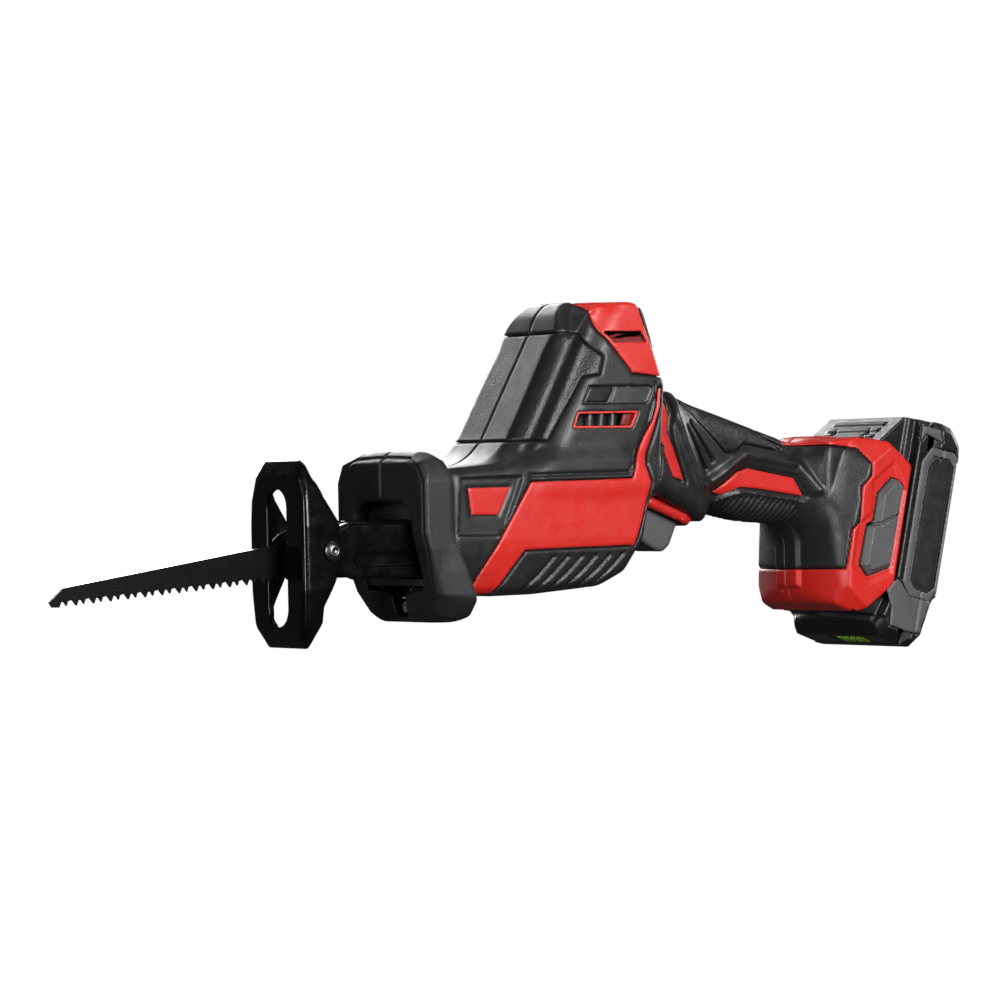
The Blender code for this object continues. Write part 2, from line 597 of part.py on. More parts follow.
def motor(saw):
    """The brushless motor, its axis through the crank's centre, with its fan, bearings and board."""
    def part(name, profile, finish, steps=24):
        centre = (CRANK_CENTRE[0], 0, CRANK_CENTRE[1])
        return saw.turned(name, profile, centre, MOTOR_AXIS, finish, steps)

    pinion = bevel_gear(saw, "pinion", PINION_TEETH, PINION_RADIUS, GEAR_RADIUS, MOTOR_AXIS, AXIS_Y, 0.5, 2.0)
    bore_start = Vector(CRANK_POINT)
    cut(pinion, saw.rod("bore", bore_start, bore_start + MOTOR_AXIS * 60, 2.05, sides=12))
    part("motor_shaft", [(0, 85.5), (1.75, 85.5), (1.75, 14.8), (0, 14.8)], "steel", 12)
    part("motor_rotor", [(9.0, 68), (2.1, 68), (2.1, 46), (9.0, 46)], "steel", 20)
    core = part("motor_stator", [(18.5, 67), (9.8, 67), (9.8, 47), (18.5, 47)], "black_steel")
    bake(core)
    coils = part("winding", [(16.5, 70), (11.0, 70), (11.0, 44), (16.5, 44)], "copper")
    bake(coils)
    join(core, coils)
    part("motor_board", [(16.5, 43), (5.0, 43), (5.0, 41.5), (16.5, 41.5)], "board", 20)
    part("motor_mount", [(18, 41), (6.8, 41), (6.8, 32.5), (8.2, 32.5), (8.2, 39), (18, 39)], "black")
    for name, low in (("motor_bearing_front", 33.0), ("motor_bearing_rear", 80.0)):
        part(name, [(6.5, low + 4.5), (2.1, low + 4.5), (2.1, low), (6.5, low)], "steel", 16)
    fan = part("motor_fan", [(15.0, 72.7), (2.1, 72.7), (2.1, 71.5), (15.0, 71.5)], "black")
    bake(fan)
    centre = Vector((CRANK_CENTRE[0], 0, CRANK_CENTRE[1]))
    turn = MOTOR_AXIS.to_track_quat("Z", "Y").to_matrix().to_4x4()
    blades = []
    for i in range(9):
        vane = bmesh.new()
        bmesh.ops.create_cube(vane, size=1)
        bmesh.ops.scale(vane, vec=(8.5, 1.2, 5.2), verts=vane.verts)
        spoke = Matrix.Rotation(i * math.tau / 9, 4,
                                "Z") @ Matrix.Translation((9.8, 0,
                                75.0)) @ Matrix.Rotation(math.radians(35), 4, "Z")
        bmesh.ops.transform(vane, verts=vane.verts, matrix=turn @ spoke)
        blades.append(saw.add(f"vane_{i}", vane, "black", centre))
    join(fan, *blades)


# --- Shoe ----------------------------------------------------------------------------------------

SHOE_SIDE = [(0, -29.5), (0, 29.5), (5.6, 35.5), (7.6, 28), (9.6, 25), (10.8, 20.5), (16.6, 11), (17, 0),
             (14.8, -10.6), (9.7, -20.5), (9.5, -27), (4.6, -37)]


def shoe(saw):
    """The pivoting shoe, pressed from 2 mm sheet: a slotted face with both ends bent back, and two ears."""
    pivot = (SHOE_PIVOT[0], 0, SHOE_PIVOT[1])
    body = saw.both_sides("shoe", SHOE_SIDE, SHOE_HALF_WIDTH, "black_steel", 1.6, 1, origin=pivot)
    inner = [(SHEET, -28.8), (SHEET, 28.8), (6.5, 33.6), (30, 33.6), (30, -34.6), (5.0, -34.6)]
    cut(
        body,
        saw.both_sides("sheet_inside", inner, SHOE_HALF_WIDTH - SHEET),
        saw.box("blade_slot", (-5, -7.3, -27.5), (5, 7.3, 24), bevel=2.5),
        saw.rod("pivot_hole", (pivot[0], -40, pivot[2]), (pivot[0], 40, pivot[2]), 2.1, sides=14),
        saw.box("upper_open", (8.2, -18, 20), (30, 18, 60)),
        saw.box("lower_open", (8.2, -18, -60), (30, 18, -20)),
    )
    for name, side in (("shoe_rivet_left", -1), ("shoe_rivet_right", 1)):
        head = [(0, 3.2), (2.0, 3.2), (3.0, 2.2), (3.0, 0.3), (1.9, 0.3), (1.9, -2.6), (0, -2.6)]
        saw.turned(name, head, (pivot[0], side * SHOE_HALF_WIDTH, pivot[2]), AXIS_Y * side, "steel", 14)


def bracket(saw):
    """The pressed bracket that carries the shoe: a channel, open below, that slides in the gearcase."""
    w, h = BRACKET_HALF_WIDTH, BRACKET_HALF_HEIGHT
    side = [(7.5, -3.5), (7.5, 4.5), (11, 7.5), (20, h), (63.5, h), (63.5, -h), (22, -h), (12, -7.0)]
    body = saw.both_sides("shoe_bracket", side, w, "black_steel", 0.8, 1)
    cut(
        body,
        saw.box("channel_inside", (0, -w + 1.5, -20), (80, w - 1.5, h - 1.5)),
        saw.box("top_relief", (0, -w + 3.5, 0), (24, w - 3.5, 20)),
        saw.rod("rivet_hole", (SHOE_PIVOT[0], -30, SHOE_PIVOT[1]), (SHOE_PIVOT[0], 30, SHOE_PIVOT[1]), 2.1,
                sides=14),
    )


# --- Trigger, lock-off and electronics -----------------------------------------------------------



def along_trigger(across, deep):
    """A point of the trigger's own frame: across runs to the rear along the handle, deep into it."""
    c, s = math.cos(TRIGGER_LEAN), math.sin(TRIGGER_LEAN)
    return (TRIGGER_FACE[0] + across * c + deep * s, TRIGGER_FACE[1] - across * s + deep * c)


def trigger_group(saw):
    """The trigger block, its red bezel, the switch behind it and the return spring."""
    block = [(-9.2, -12), (-7.5, -14.5), (2, -17.2), (7.2, -17.0), (8.8, -13.5), (8.8, 3.8), (-9.2, 3.8)]
    outline = [along_trigger(a, b) for a, b in block]
    saw.both_sides("trigger", outline, TRIGGER_HALF_WIDTH, "grey", 2.0, 2,
                   origin=(TRIGGER_FACE[0], 0, TRIGGER_FACE[1]))
    ring = [along_trigger(a, b) for a, b in ((-12.6, -2.6), (12.6, -2.6), (12.6, 0.6), (-12.6, 0.6))]
    bezel = saw.both_sides("trigger_bezel", ring, 12, "red", 1.0, 1)
    mouth = [along_trigger(a, b) for a, b in ((-9.7, -6), (9.3, -6), (9.3, 6), (-9.7, 6))]
    cut(bezel, saw.both_sides("bezel_mouth", mouth, TRIGGER_HALF_WIDTH + 0.6))
    body = [along_trigger(a, b) for a, b in ((-8.5, 12.5), (14, 12.5), (14, 30), (-8.5, 30))]
    saw.both_sides("trigger_switch", body, 9.5, "grey", 0.8, 1)
    start, end = along_trigger(0, 4.7), along_trigger(0, 11.7)
    saw.coil("trigger_spring", (start[0], 0, start[1]), (end[0], 0, end[1]), 3.0, 4, 0.35)


def lock_off(saw):
    """The cross-bolt that blocks the trigger: it slides from side to side above it."""
    outline = [(157.6, 24.9), (161.7, 24.9), (163.6, 38.1), (159.8, 38.1)]
    saw.both_sides("lock_off_button", outline, 23.2, "black", 0.8, 1)


def electronics(saw):
    """The lamp, the speed controller and the leads between the pack's terminals and the motor."""
    saw.box("controller_case", (135.2, -20, 3), (146, 20, 24), "aluminium", bevel=0.8)
    saw.box("lamp_holder", (61.5, -4, -24.6), (66, 4, -19.4), "black")
    saw.rod("lamp_lens", (56.5, 0, -22.2), (61.2, 0, -22.2), 2.2, "lens", 14)
    terminal = uv(246.2, 79)
    for name, side, finish in (("power_lead_positive", 1, "red_lead"), ("power_lead_negative", -1, "rubber")):
        route = ((*terminal, 10), (246, 19, 9), (236, 17, 9), (214, 18, 10), (200, 21, 11),
                 (196.5, 30, 11.5), (188, 38, 11.5))
        saw.tube(name, [(x, side * y, z) for x, z, y in route], 1.3, finish)


# --- Foot and battery pack -----------------------------------------------------------------------



def release_buttons(saw):
    """The two buttons in the foot's sides that free the pack."""
    right = saw.prism("release_button_right", RELEASE_OUTLINE, 27.6, 33, "grey", 1.4, 1)
    mirrored(saw, right, "release_button_left")


def terminals(saw):
    """The terminal block on the foot's floor and its three blades, which reach into the pack."""
    block = [uv(v, u) for v, u in ((246.8, 66), (246.8, 92), (250.6, 92), (250.6, 66))]
    saw.both_sides("terminal_block", block, 16, "black")
    for name, y in (("terminal_positive", 11), ("terminal_negative", -11)):
        tongue = [uv(v, u) for v, u in ((250.95, 74), (250.95, 88), (256.5, 88), (256.5, 74))]
        saw.prism(name, tongue, y - 0.4, y + 0.4, "copper")




def battery(saw):
    """The slide-on pack: front and rear cases, three cells in a holder, the board, gauge and screws."""
    front = saw.both_sides("pack_front_case", [uv(v, u) for v, u in PACK_FRONT], PACK_HALF_WIDTH, "black",
                           2.5, 1)
    hollow = [(255, 30), (255, 94), (264.5, 106), (280, 106), (280, 23.5), (270, 23.5), (266, 30)]
    rail_side = [(240, 24.2), (240, 130), (267.8, 130), (267.8, 40), (262, 24.2)]
    cutters = [saw.both_sides("pack_hollow", [uv(v, u) for v, u in hollow], PRESS_HALF_WIDTH - 2.4)]
    press_side = [(240, 41.5), (240, 130), (264, 130), (264, 41.5)]
    for front_v, half in ((266, 24.4), (269.2, PACK_HALF_WIDTH - 2.6)):
        room = [(front_v, 29), (front_v, 101.5), (280, 101.5), (280, 29)]
        cutters.append(saw.both_sides("cell_room", [uv(v, u) for v, u in room], half))
    for side in (-1, 1):
        low, high = sorted((side * RAIL_HALF_WIDTH, side * 40))
        cutters.append(saw.prism(f"rail_{side}", [uv(v, u) for v, u in rail_side], low, high))
        low, high = sorted((side * PRESS_HALF_WIDTH, side * 40))
        cutters.append(saw.prism(f"press_{side}", [uv(v, u) for v, u in press_side], low, high))
    slots = [(245, 72), (245, 120), (258.5, 120), (258.5, 72)]
    for y in (-11, 11):
        cutters.append(saw.prism(f"slot_{y}", [uv(v, u) for v, u in slots], y - 1.2, y + 1.2))
    gauge_seat = [(266.3, 14), (274.9, 14), (274.9, 20.2), (266.3, 21.4)]
    cutters.append(saw.prism("gauge_seat", [uv(v, u) for v, u in gauge_seat], -14.4, 6.4))
    cut(front, *cutters)
    rear = saw.both_sides("pack_rear_case", [uv(v, u) for v, u in PACK_REAR], PACK_HALF_WIDTH, "grey", 2.5, 1)
    rear_hollow = [(270, 23), (280, 23), (284.4, 27), (286.6, 38), (288.6, 43), (288.6, 98), (283, 106),
                   (270, 106)]
    cut(rear, saw.both_sides("rear_hollow", [uv(v, u) for v, u in rear_hollow], PACK_HALF_WIDTH - 2.6))
    for i, y in enumerate((-18.7, 0, 18.7), 1):
        low, high = uv(276.5, 33), uv(276.5, 33 + CELL_LENGTH)
        saw.rod(f"cell_{i}", (low[0], y, low[1]), (high[0], y, high[1]), CELL_RADIUS, "cell", 20)
    for name, u_low in (("cell_holder_lower", 29.5), ("cell_holder_upper", 98.3)):
        plate = [uv(v, u) for v,
                 u in ((270, u_low), (270, u_low + 3.0), (284.6, u_low + 3.0), (284.6, u_low))]
        saw.both_sides(name, plate, 24, "black")
    board = [uv(v, u) for v, u in ((261, 40), (261, 88), (262.6, 88), (262.6, 40))]
    saw.both_sides("pack_board", board, 21, "board")
    for name, y in (("pack_contact_positive", 11), ("pack_contact_negative", -11)):
        clip = [uv(v, u) for v, u in ((258.8, 73), (258.8, 84), (260.7, 84), (260.7, 73))]
        saw.prism(name, clip, y - 2.5, y + 2.5, "copper")


def gauge(saw):
    """The charge gauge's window, set into the pack's underside."""
    window = [uv(v, u) for v, u in ((266.6, 21.0), (274.5, 19.9), (274.5, 18.8), (266.6, 19.9))]
    saw.prism("gauge_window", window, -14, 6, "lens")


def main():
    clear_scene()
    saw = Saw()
    housing(saw)
    housing_screws(saw)
    nose_boot(saw)
    crank(saw)
    plunger(saw)
    blade(saw)
    gearcase(saw)
    bushings(saw)
    motor(saw)
    shoe(saw)
    bracket(saw)
    trigger_group(saw)
    lock_off(saw)
    electronics(saw)
    release_buttons(saw)
    terminals(saw)
    battery(saw)
    gauge(saw)


main()
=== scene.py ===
"""Looks of a compact cordless reciprocating saw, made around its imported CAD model.

The visible pieces are drawn as signed distances (negative inside) sampled on a grid, whose zero
surface becomes the mesh. They are drawn in the drawing frame of the saw, in millimetres: X to the
rear, Y to the side with the screws, Z up, with the origin on the plunger's axis at the shoe's face.
"""

import functools
import json
import math

import bpy
import numpy as np
from mathutils import Matrix, Vector


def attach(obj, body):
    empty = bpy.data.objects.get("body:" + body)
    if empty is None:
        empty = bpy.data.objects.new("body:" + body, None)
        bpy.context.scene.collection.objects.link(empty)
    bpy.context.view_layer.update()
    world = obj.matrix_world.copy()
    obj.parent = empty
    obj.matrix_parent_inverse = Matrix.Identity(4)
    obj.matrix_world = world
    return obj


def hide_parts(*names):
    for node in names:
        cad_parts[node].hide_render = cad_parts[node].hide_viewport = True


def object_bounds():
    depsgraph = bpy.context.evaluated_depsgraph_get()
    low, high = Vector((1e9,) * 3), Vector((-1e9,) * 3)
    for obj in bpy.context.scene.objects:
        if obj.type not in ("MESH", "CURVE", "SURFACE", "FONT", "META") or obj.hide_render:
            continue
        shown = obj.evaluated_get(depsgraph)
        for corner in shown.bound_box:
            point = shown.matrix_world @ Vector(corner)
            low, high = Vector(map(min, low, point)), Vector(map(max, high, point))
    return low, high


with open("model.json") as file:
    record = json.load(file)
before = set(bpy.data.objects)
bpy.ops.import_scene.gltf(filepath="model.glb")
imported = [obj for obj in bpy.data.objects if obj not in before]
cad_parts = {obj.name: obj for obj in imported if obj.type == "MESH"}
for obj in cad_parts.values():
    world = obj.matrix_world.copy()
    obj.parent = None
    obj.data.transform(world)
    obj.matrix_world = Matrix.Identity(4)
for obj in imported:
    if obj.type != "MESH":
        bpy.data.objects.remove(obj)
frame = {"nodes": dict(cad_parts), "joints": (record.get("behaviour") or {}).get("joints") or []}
cad_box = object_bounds()

MM = 0.001
SHOE_PIVOT = (12.0, 0.5)  # x and z of the shoe's hinge in the drawing frame, in mm
PIVOT_HOLE = 2.1  # radius of the holes for its rivets
hinge = next(joint for joint in frame["joints"] if joint["name"] == "shoe_pivot")
ORIGIN = Vector(hinge["pos_m"]) - Vector((SHOE_PIVOT[0], 0, SHOE_PIVOT[1])) * MM

WALL = 3.0  # of the housing
INLAY_DEPTH = 1.5  # of the finishes set into the housing
GROOVE = 0.35  # left between two finishes of the housing
SEAM = 0.12  # half the gap between the housing's halves
SIDE_FROM = 10.0  # out from the middle, where the housing's side faces start
VENT_DEPTH = 9.0  # of the holes through the black shell
LOUVRES = 6
PACK_TILT = math.radians(13)
FLOOR_HALF = 1.3  # m
PACK_DROP = 0.09  # m of room under the saw, for the pack to slide out of its channel
TRIGGER_LEAN = math.radians(22)
TRIGGER_FACE = (170.5, 13.6)


# --- Distances ------------------------------------------------------------------------------------


class Grid:
    """The sample points of a box, as arrays that broadcast to its whole volume."""

    def __init__(self, low, high, step):
        axes = [np.arange(a, b + step, step, dtype=np.float32) for a, b in zip(low, high)]
        self.low, self.step = np.array(low), step
        self.x, self.y, self.z = axes[0][:, None, None], axes[1][None, :, None], axes[2][None, None, :]
        self.side = np.abs(self.y)

    def turned(self, angle, centre=(0.0, 0.0)):
        """Coordinates (to the rear, up) of axes turned by angle about Y."""
        c, s = math.cos(angle), math.sin(angle)
        x, z = self.x - centre[0], self.z - centre[1]
        return x * c - z * s, x * s + z * c


def polyline(a, b, points):
    """Distance from the points (a, b) to an open line."""
    nearest = np.inf
    for (ax, ay), (bx, by) in zip(points, points[1:]):
        ex, ey = bx - ax, by - ay
        px, py = a - ax, b - ay
        t = np.clip((px * ex + py * ey) / (ex * ex + ey * ey), 0, 1)
        nearest = np.minimum(nearest, (px - t * ex) ** 2 + (py - t * ey) ** 2)
    return np.sqrt(nearest)


def polygon(a, b, corners):
    """Signed distance from the points (a, b) to a closed outline."""
    closed = corners + corners[:1]
    inside = np.zeros(np.broadcast(a, b).shape, bool)
    for (ax, ay), (bx, by) in zip(closed, closed[1:]):
        if by != ay:
            inside ^= ((ay > b) != (by > b)) & (a - ax < (bx - ax) * (b - ay) / (by - ay))
    return np.where(inside, -1, 1) * polyline(a, b, closed)


def union(a, b, blend=0.01):
    """The two shapes together, with a fillet that starts where their surfaces are blend apart."""
    h = np.clip(blend - np.abs(a - b), 0, None) / blend
    return np.minimum(a, b) - h * h * blend / 4


def common(a, b, blend=0.01):
    """What the two shapes share, with its new edges rounded in the same way."""
    return -union(-a, -b, blend)


def overlap(*shapes):
    """What several shapes share, with sharp edges."""
    return functools.reduce(np.maximum, shapes)


def slab(flat, side, half, edge):
    """A flat outline given thickness: half to each side, with rounded edges of radius edge."""
    q, p = flat + edge, side - half + edge
    return np.minimum(np.maximum(q, p), 0) + np.hypot(np.maximum(q, 0), np.maximum(p, 0)) - edge


def faceted(flat, side, half, chamfer):
    """A flat outline given thickness, with chamfered edges."""
    return np.maximum(np.maximum(flat, side - half), (flat + side - half + chamfer) * math.sqrt(0.5))


def soften(flat, cells):
    """A distance on the (x, z) plane, averaged over 2 * cells + 1 samples, which rounds its corners."""
    width = 2 * cells + 1
    for axis in (0, 2, 0, 2):
        pad = [(0, 0)] * 3
        pad[axis] = (cells + 1, cells)
        total = np.cumsum(np.pad(flat, pad, mode="edge"), axis=axis, dtype=np.float64)
        ahead = np.take(total, range(width, total.shape[axis]), axis)
        behind = np.take(total, range(total.shape[axis] - width), axis)
        flat = ((ahead - behind) / width).astype(np.float32)
    return flat


def bump(distance, width):
    """1 on a line, falling smoothly to 0 at width from it."""
    t = np.clip(1 - distance / width, 0, 1)
    return t * t * (3 - 2 * t)


def ramp(value, *stops):
    """Straight-line interpolation through (value, result) stops."""
    return np.interp(value, [s[0] for s in stops], [s[1] for s in stops]).astype(np.float32)


# --- Meshes ---------------------------------------------------------------------------------------


def net(field, grid):
    """The surface where field is zero, as points in mm and quads that face outwards (a surface net)."""
    whole = np.broadcast(grid.x, grid.y, grid.z).shape
    field = np.broadcast_to(np.asarray(field, np.float32), whole)
    inside = field < 0
    cells = np.array(field.shape) - 1
    rings, spots = [], []
    for axis in range(3):
        near, far = [slice(None)] * 3, [slice(None)] * 3
        near[axis], far[axis] = slice(None, -1), slice(1, None)
        crossed = inside[tuple(near)] != inside[tuple(far)]
        others = [i for i in range(3) if i != axis]
        for other in others:
            for end in (0, -1):
                edge = [slice(None)] * 3
                edge[other] = end
                crossed[tuple(edge)] = False
        at = np.argwhere(crossed)
        ahead = at.copy()
        ahead[:, axis] += 1
        here, there = field[tuple(at.T)], field[tuple(ahead.T)]
        spot = at.astype(np.float64)
        spot[:, axis] += here / (here - there)
        ring = []
        for step in ((0, 0), (-1, 0), (-1, -1), (0, -1)):
            cell = at.copy()
            cell[:, others] += step
            ring.append(np.ravel_multi_index(cell.T, cells))
        ring = np.stack(ring, 1)
        flip = (here >= 0) ^ (axis == 1)
        ring[flip] = ring[flip][:, ::-1]
        rings.append(ring)
        spots.append(np.repeat(spot, 4, axis=0))
    rings, spots = np.concatenate(rings), np.concatenate(spots)
    _, index = np.unique(rings, return_inverse=True)
    index = index.ravel()
    count = np.bincount(index)
    points = np.stack([np.bincount(index, spots[:, k]) / count for k in range(3)], 1)
    return grid.low + points * grid.step, index.reshape(-1, 4)


def new_mesh(name, points, quads):
    mesh = bpy.data.meshes.new(name)
    mesh.vertices.add(len(points))
    mesh.vertices.foreach_set("co", points.astype(np.float32).ravel())
    mesh.loops.add(quads.size)
    mesh.loops.foreach_set("vertex_index", quads.astype(np.int32).ravel())
    mesh.polygons.add(len(quads))
    mesh.polygons.foreach_set("loop_start", np.arange(0, quads.size, 4, dtype=np.int32))
    mesh.update(calc_edges=True)
    mesh.validate()
    mesh.shade_smooth()
    return mesh


def place(name, points, quads, finish, body, nodes=()):
    """One visible piece: a mesh given in the drawing frame, on its body, in place of these CAD nodes."""
    mesh = new_mesh(name, np.array(ORIGIN) + points * MM, quads)
    mesh.materials.append(FINISHES[finish])
    piece = bpy.data.objects.new(name, mesh)
    bpy.context.scene.collection.objects.link(piece)
    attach(piece, body)
    if nodes:
        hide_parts(*nodes)


def solid(name, field, grid, finish, body, nodes=()):
    """A piece whose surface is where field is zero."""
    points, quads = net(field, grid)
    place(name, points, quads, finish, body, nodes)


def pair(name, field, grid, finish, bodies, nodes=((), ())):
    """A piece drawn on the -Y side and its mirror image on the +Y side."""
    points, quads = net(field, grid)
    place(name + "_left", points, quads, finish, bodies[0], nodes[0])
    place(name + "_right", points * (1, -1, 1), quads[:, ::-1], finish, bodies[1], nodes[1])


# --- Materials ------------------------------------------------------------------------------------


def material(name, colour, roughness, grain, depth, metallic=0.0, wear_and_highlight=None, patchy=0.12, gloss=0.5,
             coat=0.0, brushed=None, streak=1.0):
    """A moulded, painted or machined finish.

    grain and depth are the size and the height of its surface texture, in mm. wear_and_highlight is the
    colour painted on convex edges, partly wear and partly a painted highlight. patchy is how much the
    colour varies, and streak how much the roughness does.
    brushed stretches the grain along an axis.
    """
    made = bpy.data.materials.new(name)
    made.use_nodes = True
    tree = made.node_tree
    shader = tree.nodes["Principled BSDF"]
    shader.inputs["Metallic"].default_value = metallic
    shader.inputs["Specular IOR Level"].default_value = gloss
    shader.inputs["Coat Weight"].default_value = coat
    shader.inputs["Coat Roughness"].default_value = 0.12
    where = tree.nodes.new("ShaderNodeTexCoord").outputs["Object"]

    def noise(size, detail, stretch=None):
        node = tree.nodes.new("ShaderNodeTexNoise")
        node.inputs["Scale"].default_value = 1 / (size * MM)
        node.inputs["Detail"].default_value = detail
        source = where
        if stretch:
            mapping = tree.nodes.new("ShaderNodeMapping")
            mapping.inputs["Scale"].default_value = stretch
            tree.links.new(where, mapping.inputs["Vector"])
            source = mapping.outputs["Vector"]
        tree.links.new(source, node.inputs["Vector"])
        return node.outputs["Fac"]

    def spread(value, low, high, start=0.3, end=0.7):
        node = tree.nodes.new("ShaderNodeMapRange")
        for key, number in zip(("From Min", "From Max", "To Min", "To Max"), (start, end, low, high)):
            node.inputs[key].default_value = number
        tree.links.new(value, node.inputs["Value"])
        return node.outputs["Result"]

    def mixed(factor, first, second):
        node = tree.nodes.new("ShaderNodeMix")
        node.data_type = "RGBA"
        tree.links.new(factor, node.inputs["Factor"])
        for key, tone in (("A", first), ("B", second)):
            socket = next(i for i in node.inputs if i.name == key and i.type == "RGBA")
            if isinstance(tone, bpy.types.NodeSocket):
                tree.links.new(tone, socket)
            else:
                socket.default_value = (*tone, 1)
        return next(o for o in node.outputs if o.type == "RGBA")

    dark = [c * (1 - patchy) for c in colour]
    light = [min(1, c * (1 + patchy)) for c in colour]
    tone = mixed(spread(noise(CLOUD, 3), 0, 1), dark, light)
    tone = mixed(spread(noise(grain, 2, brushed), 0, 0.35), tone, [c * SPECK_SHADE for c in colour])
    # Convex edges are painted lighter: partly wear, partly a painted highlight.
    if wear_and_highlight:
        edge = tree.nodes.new("ShaderNodeNewGeometry").outputs["Pointiness"]
        tone = mixed(spread(edge, 0, 0.75, *WEAR_AND_HIGHLIGHT_FROM_TO), tone, wear_and_highlight)
    tree.links.new(tone, shader.inputs["Base Color"])
    change = 0.07 * streak
    smeared = spread(noise(SMEAR, 4), roughness - change, roughness + change)
    tree.links.new(smeared, shader.inputs["Roughness"])
    relief = tree.nodes.new("ShaderNodeBump")
    relief.inputs["Strength"].default_value = 0.8
    relief.inputs["Distance"].default_value = depth * MM
    tree.links.new(noise(grain, 3, brushed), relief.inputs["Height"])
    tree.links.new(relief.outputs["Normal"], shader.inputs["Normal"])
    return made


CLOUD, SMEAR = 14, 5  # mm: the size of patches of colour, and of roughness
SPECK_SHADE = 0.45  # of the colour, in the low points of the grain
WEAR_AND_HIGHLIGHT_FROM_TO = (0.535, 0.62)  # pointiness of edges where the wear and painted highlight start, and where they are full
# Colours painted on convex edges: partly wear, partly a painted highlight.
BLACK_WEAR_AND_HIGHLIGHT = (0.13, 0.13, 0.135)
RED = (0.6, 0.016, 0.011)
RED_WEAR_AND_HIGHLIGHT = (0.9, 0.16, 0.12)
LOOKS = {
    "soft_black": dict(
        colour=(0.014, 0.014, 0.0145), roughness=0.4, grain=0.6, depth=0.12, wear_and_highlight=BLACK_WEAR_AND_HIGHLIGHT),
    "coarse_black": dict(
        colour=(0.009, 0.009, 0.0095), roughness=0.36, grain=0.75, depth=0.3, wear_and_highlight=BLACK_WEAR_AND_HIGHLIGHT),
    "hard_black": dict(
        colour=(0.006, 0.006, 0.0065), roughness=0.38, grain=0.5, depth=0.04, wear_and_highlight=BLACK_WEAR_AND_HIGHLIGHT),
    "rubber": dict(
        colour=(0.012, 0.012, 0.0125), roughness=0.5, grain=0.7, depth=0.06, wear_and_highlight=(0.07, 0.07, 0.07)),
    "gloss_black": dict(colour=(0.006, 0.006, 0.006), roughness=0.35, grain=0.6, depth=0.02),
    "dark_steel": dict(
        colour=(0.2, 0.2, 0.205), roughness=0.28, metallic=1.0, grain=0.5, depth=0.03, patchy=0.2),
    "red": dict(colour=RED, roughness=0.42, grain=0.45, depth=0.035, wear_and_highlight=RED_WEAR_AND_HIGHLIGHT, patchy=0.06),
    # The red darkened as painted shade, for the floor of the cap's slot and the vent's end wall.
    "painted_shade_red": dict(colour=(0.16, 0.006, 0.006), roughness=0.5, grain=0.5, depth=0.04, patchy=0.1),
    "grey": dict(
        colour=(0.085, 0.085, 0.088), roughness=0.5, grain=0.5, depth=0.05, wear_and_highlight=(0.24, 0.24, 0.24)),
    "painted_steel": dict(
        colour=(0.002, 0.002, 0.0022), roughness=0.18, grain=2.2, depth=0.03, gloss=0.3, coat=0.1),
    "blade_steel": dict(
        colour=(0.002, 0.002, 0.0022), roughness=0.24, grain=0.5, depth=0.015, patchy=0.02, gloss=0.3,
        streak=0.2, brushed=(0.15, 1, 1)),
    "black_metal": dict(colour=(0.004, 0.004, 0.0044), roughness=0.35, grain=0.6, depth=0.03),
    "inner_black": dict(colour=(0.014, 0.014, 0.015), roughness=0.42, grain=0.5, depth=0.04),
    "inner_grey": dict(colour=(0.09, 0.09, 0.093), roughness=0.5, grain=0.5, depth=0.04),
    "steel": dict(
        colour=(0.52, 0.52, 0.53), roughness=0.3, metallic=1.0, grain=0.4, depth=0.02, patchy=0.08,
        brushed=(0.2, 1, 1)),
    "cast": dict(colour=(0.16, 0.16, 0.165), roughness=0.5, metallic=1.0, grain=0.8, depth=0.08),
    "bronze": dict(colour=(0.42, 0.27, 0.11), roughness=0.48, metallic=1.0, grain=0.5, depth=0.05),
    "copper": dict(colour=(0.72, 0.3, 0.15), roughness=0.28, metallic=1.0, grain=0.6, depth=0.02),
    "board": dict(colour=(0.012, 0.12, 0.04), roughness=0.4, grain=1.8, depth=0.05, coat=0.3),
    "cell": dict(colour=(0.03, 0.13, 0.36), roughness=0.32, grain=3.0, depth=0.02, coat=0.3),
    "red_lead": dict(colour=(0.55, 0.015, 0.015), roughness=0.4, grain=1.0, depth=0.02),
    "black_lead": dict(colour=(0.012, 0.012, 0.012), roughness=0.4, grain=1.0, depth=0.02),
    "lens": dict(colour=(0.2, 0.2, 0.2), roughness=0.12, grain=1.5, depth=0.03, coat=0.8),
    "gauge_green": dict(colour=(0.35, 0.7, 0.02), roughness=0.3, grain=0.8, depth=0.02),
}
FINISHES = {name: material(name, **look) for name, look in LOOKS.items()}
SLOT_FINISH = {
    "red_housing": "red", "black_rubber": "inner_black", "black_plastic": "inner_black",
    "grey_plastic": "inner_grey", "black_steel": "black_metal", "bright_steel": "steel",
    "cast_aluminium": "cast", "cell_wrap": "cell",
    "bronze": "bronze", "copper": "copper", "circuit_board": "board", "clear_lens": "lens",
    "red_lead": "red_lead", "black_lead": "black_lead",
}


def dress_cad():
    """Gives every CAD node the finish of its material slot."""
    for node in frame["nodes"].values():
        for holder in node.material_slots:
            slot = holder.material.name.split(".")[0]
            holder.material = FINISHES[SLOT_FINISH[slot]]
    frame["nodes"]["saw_blade"].material_slots[0].material = FINISHES["blade_steel"]
    frame["nodes"]["gauge_window"].material_slots[0].material = FINISHES["gloss_black"]


# --- Housing --------------------------------------------------------------------------------------

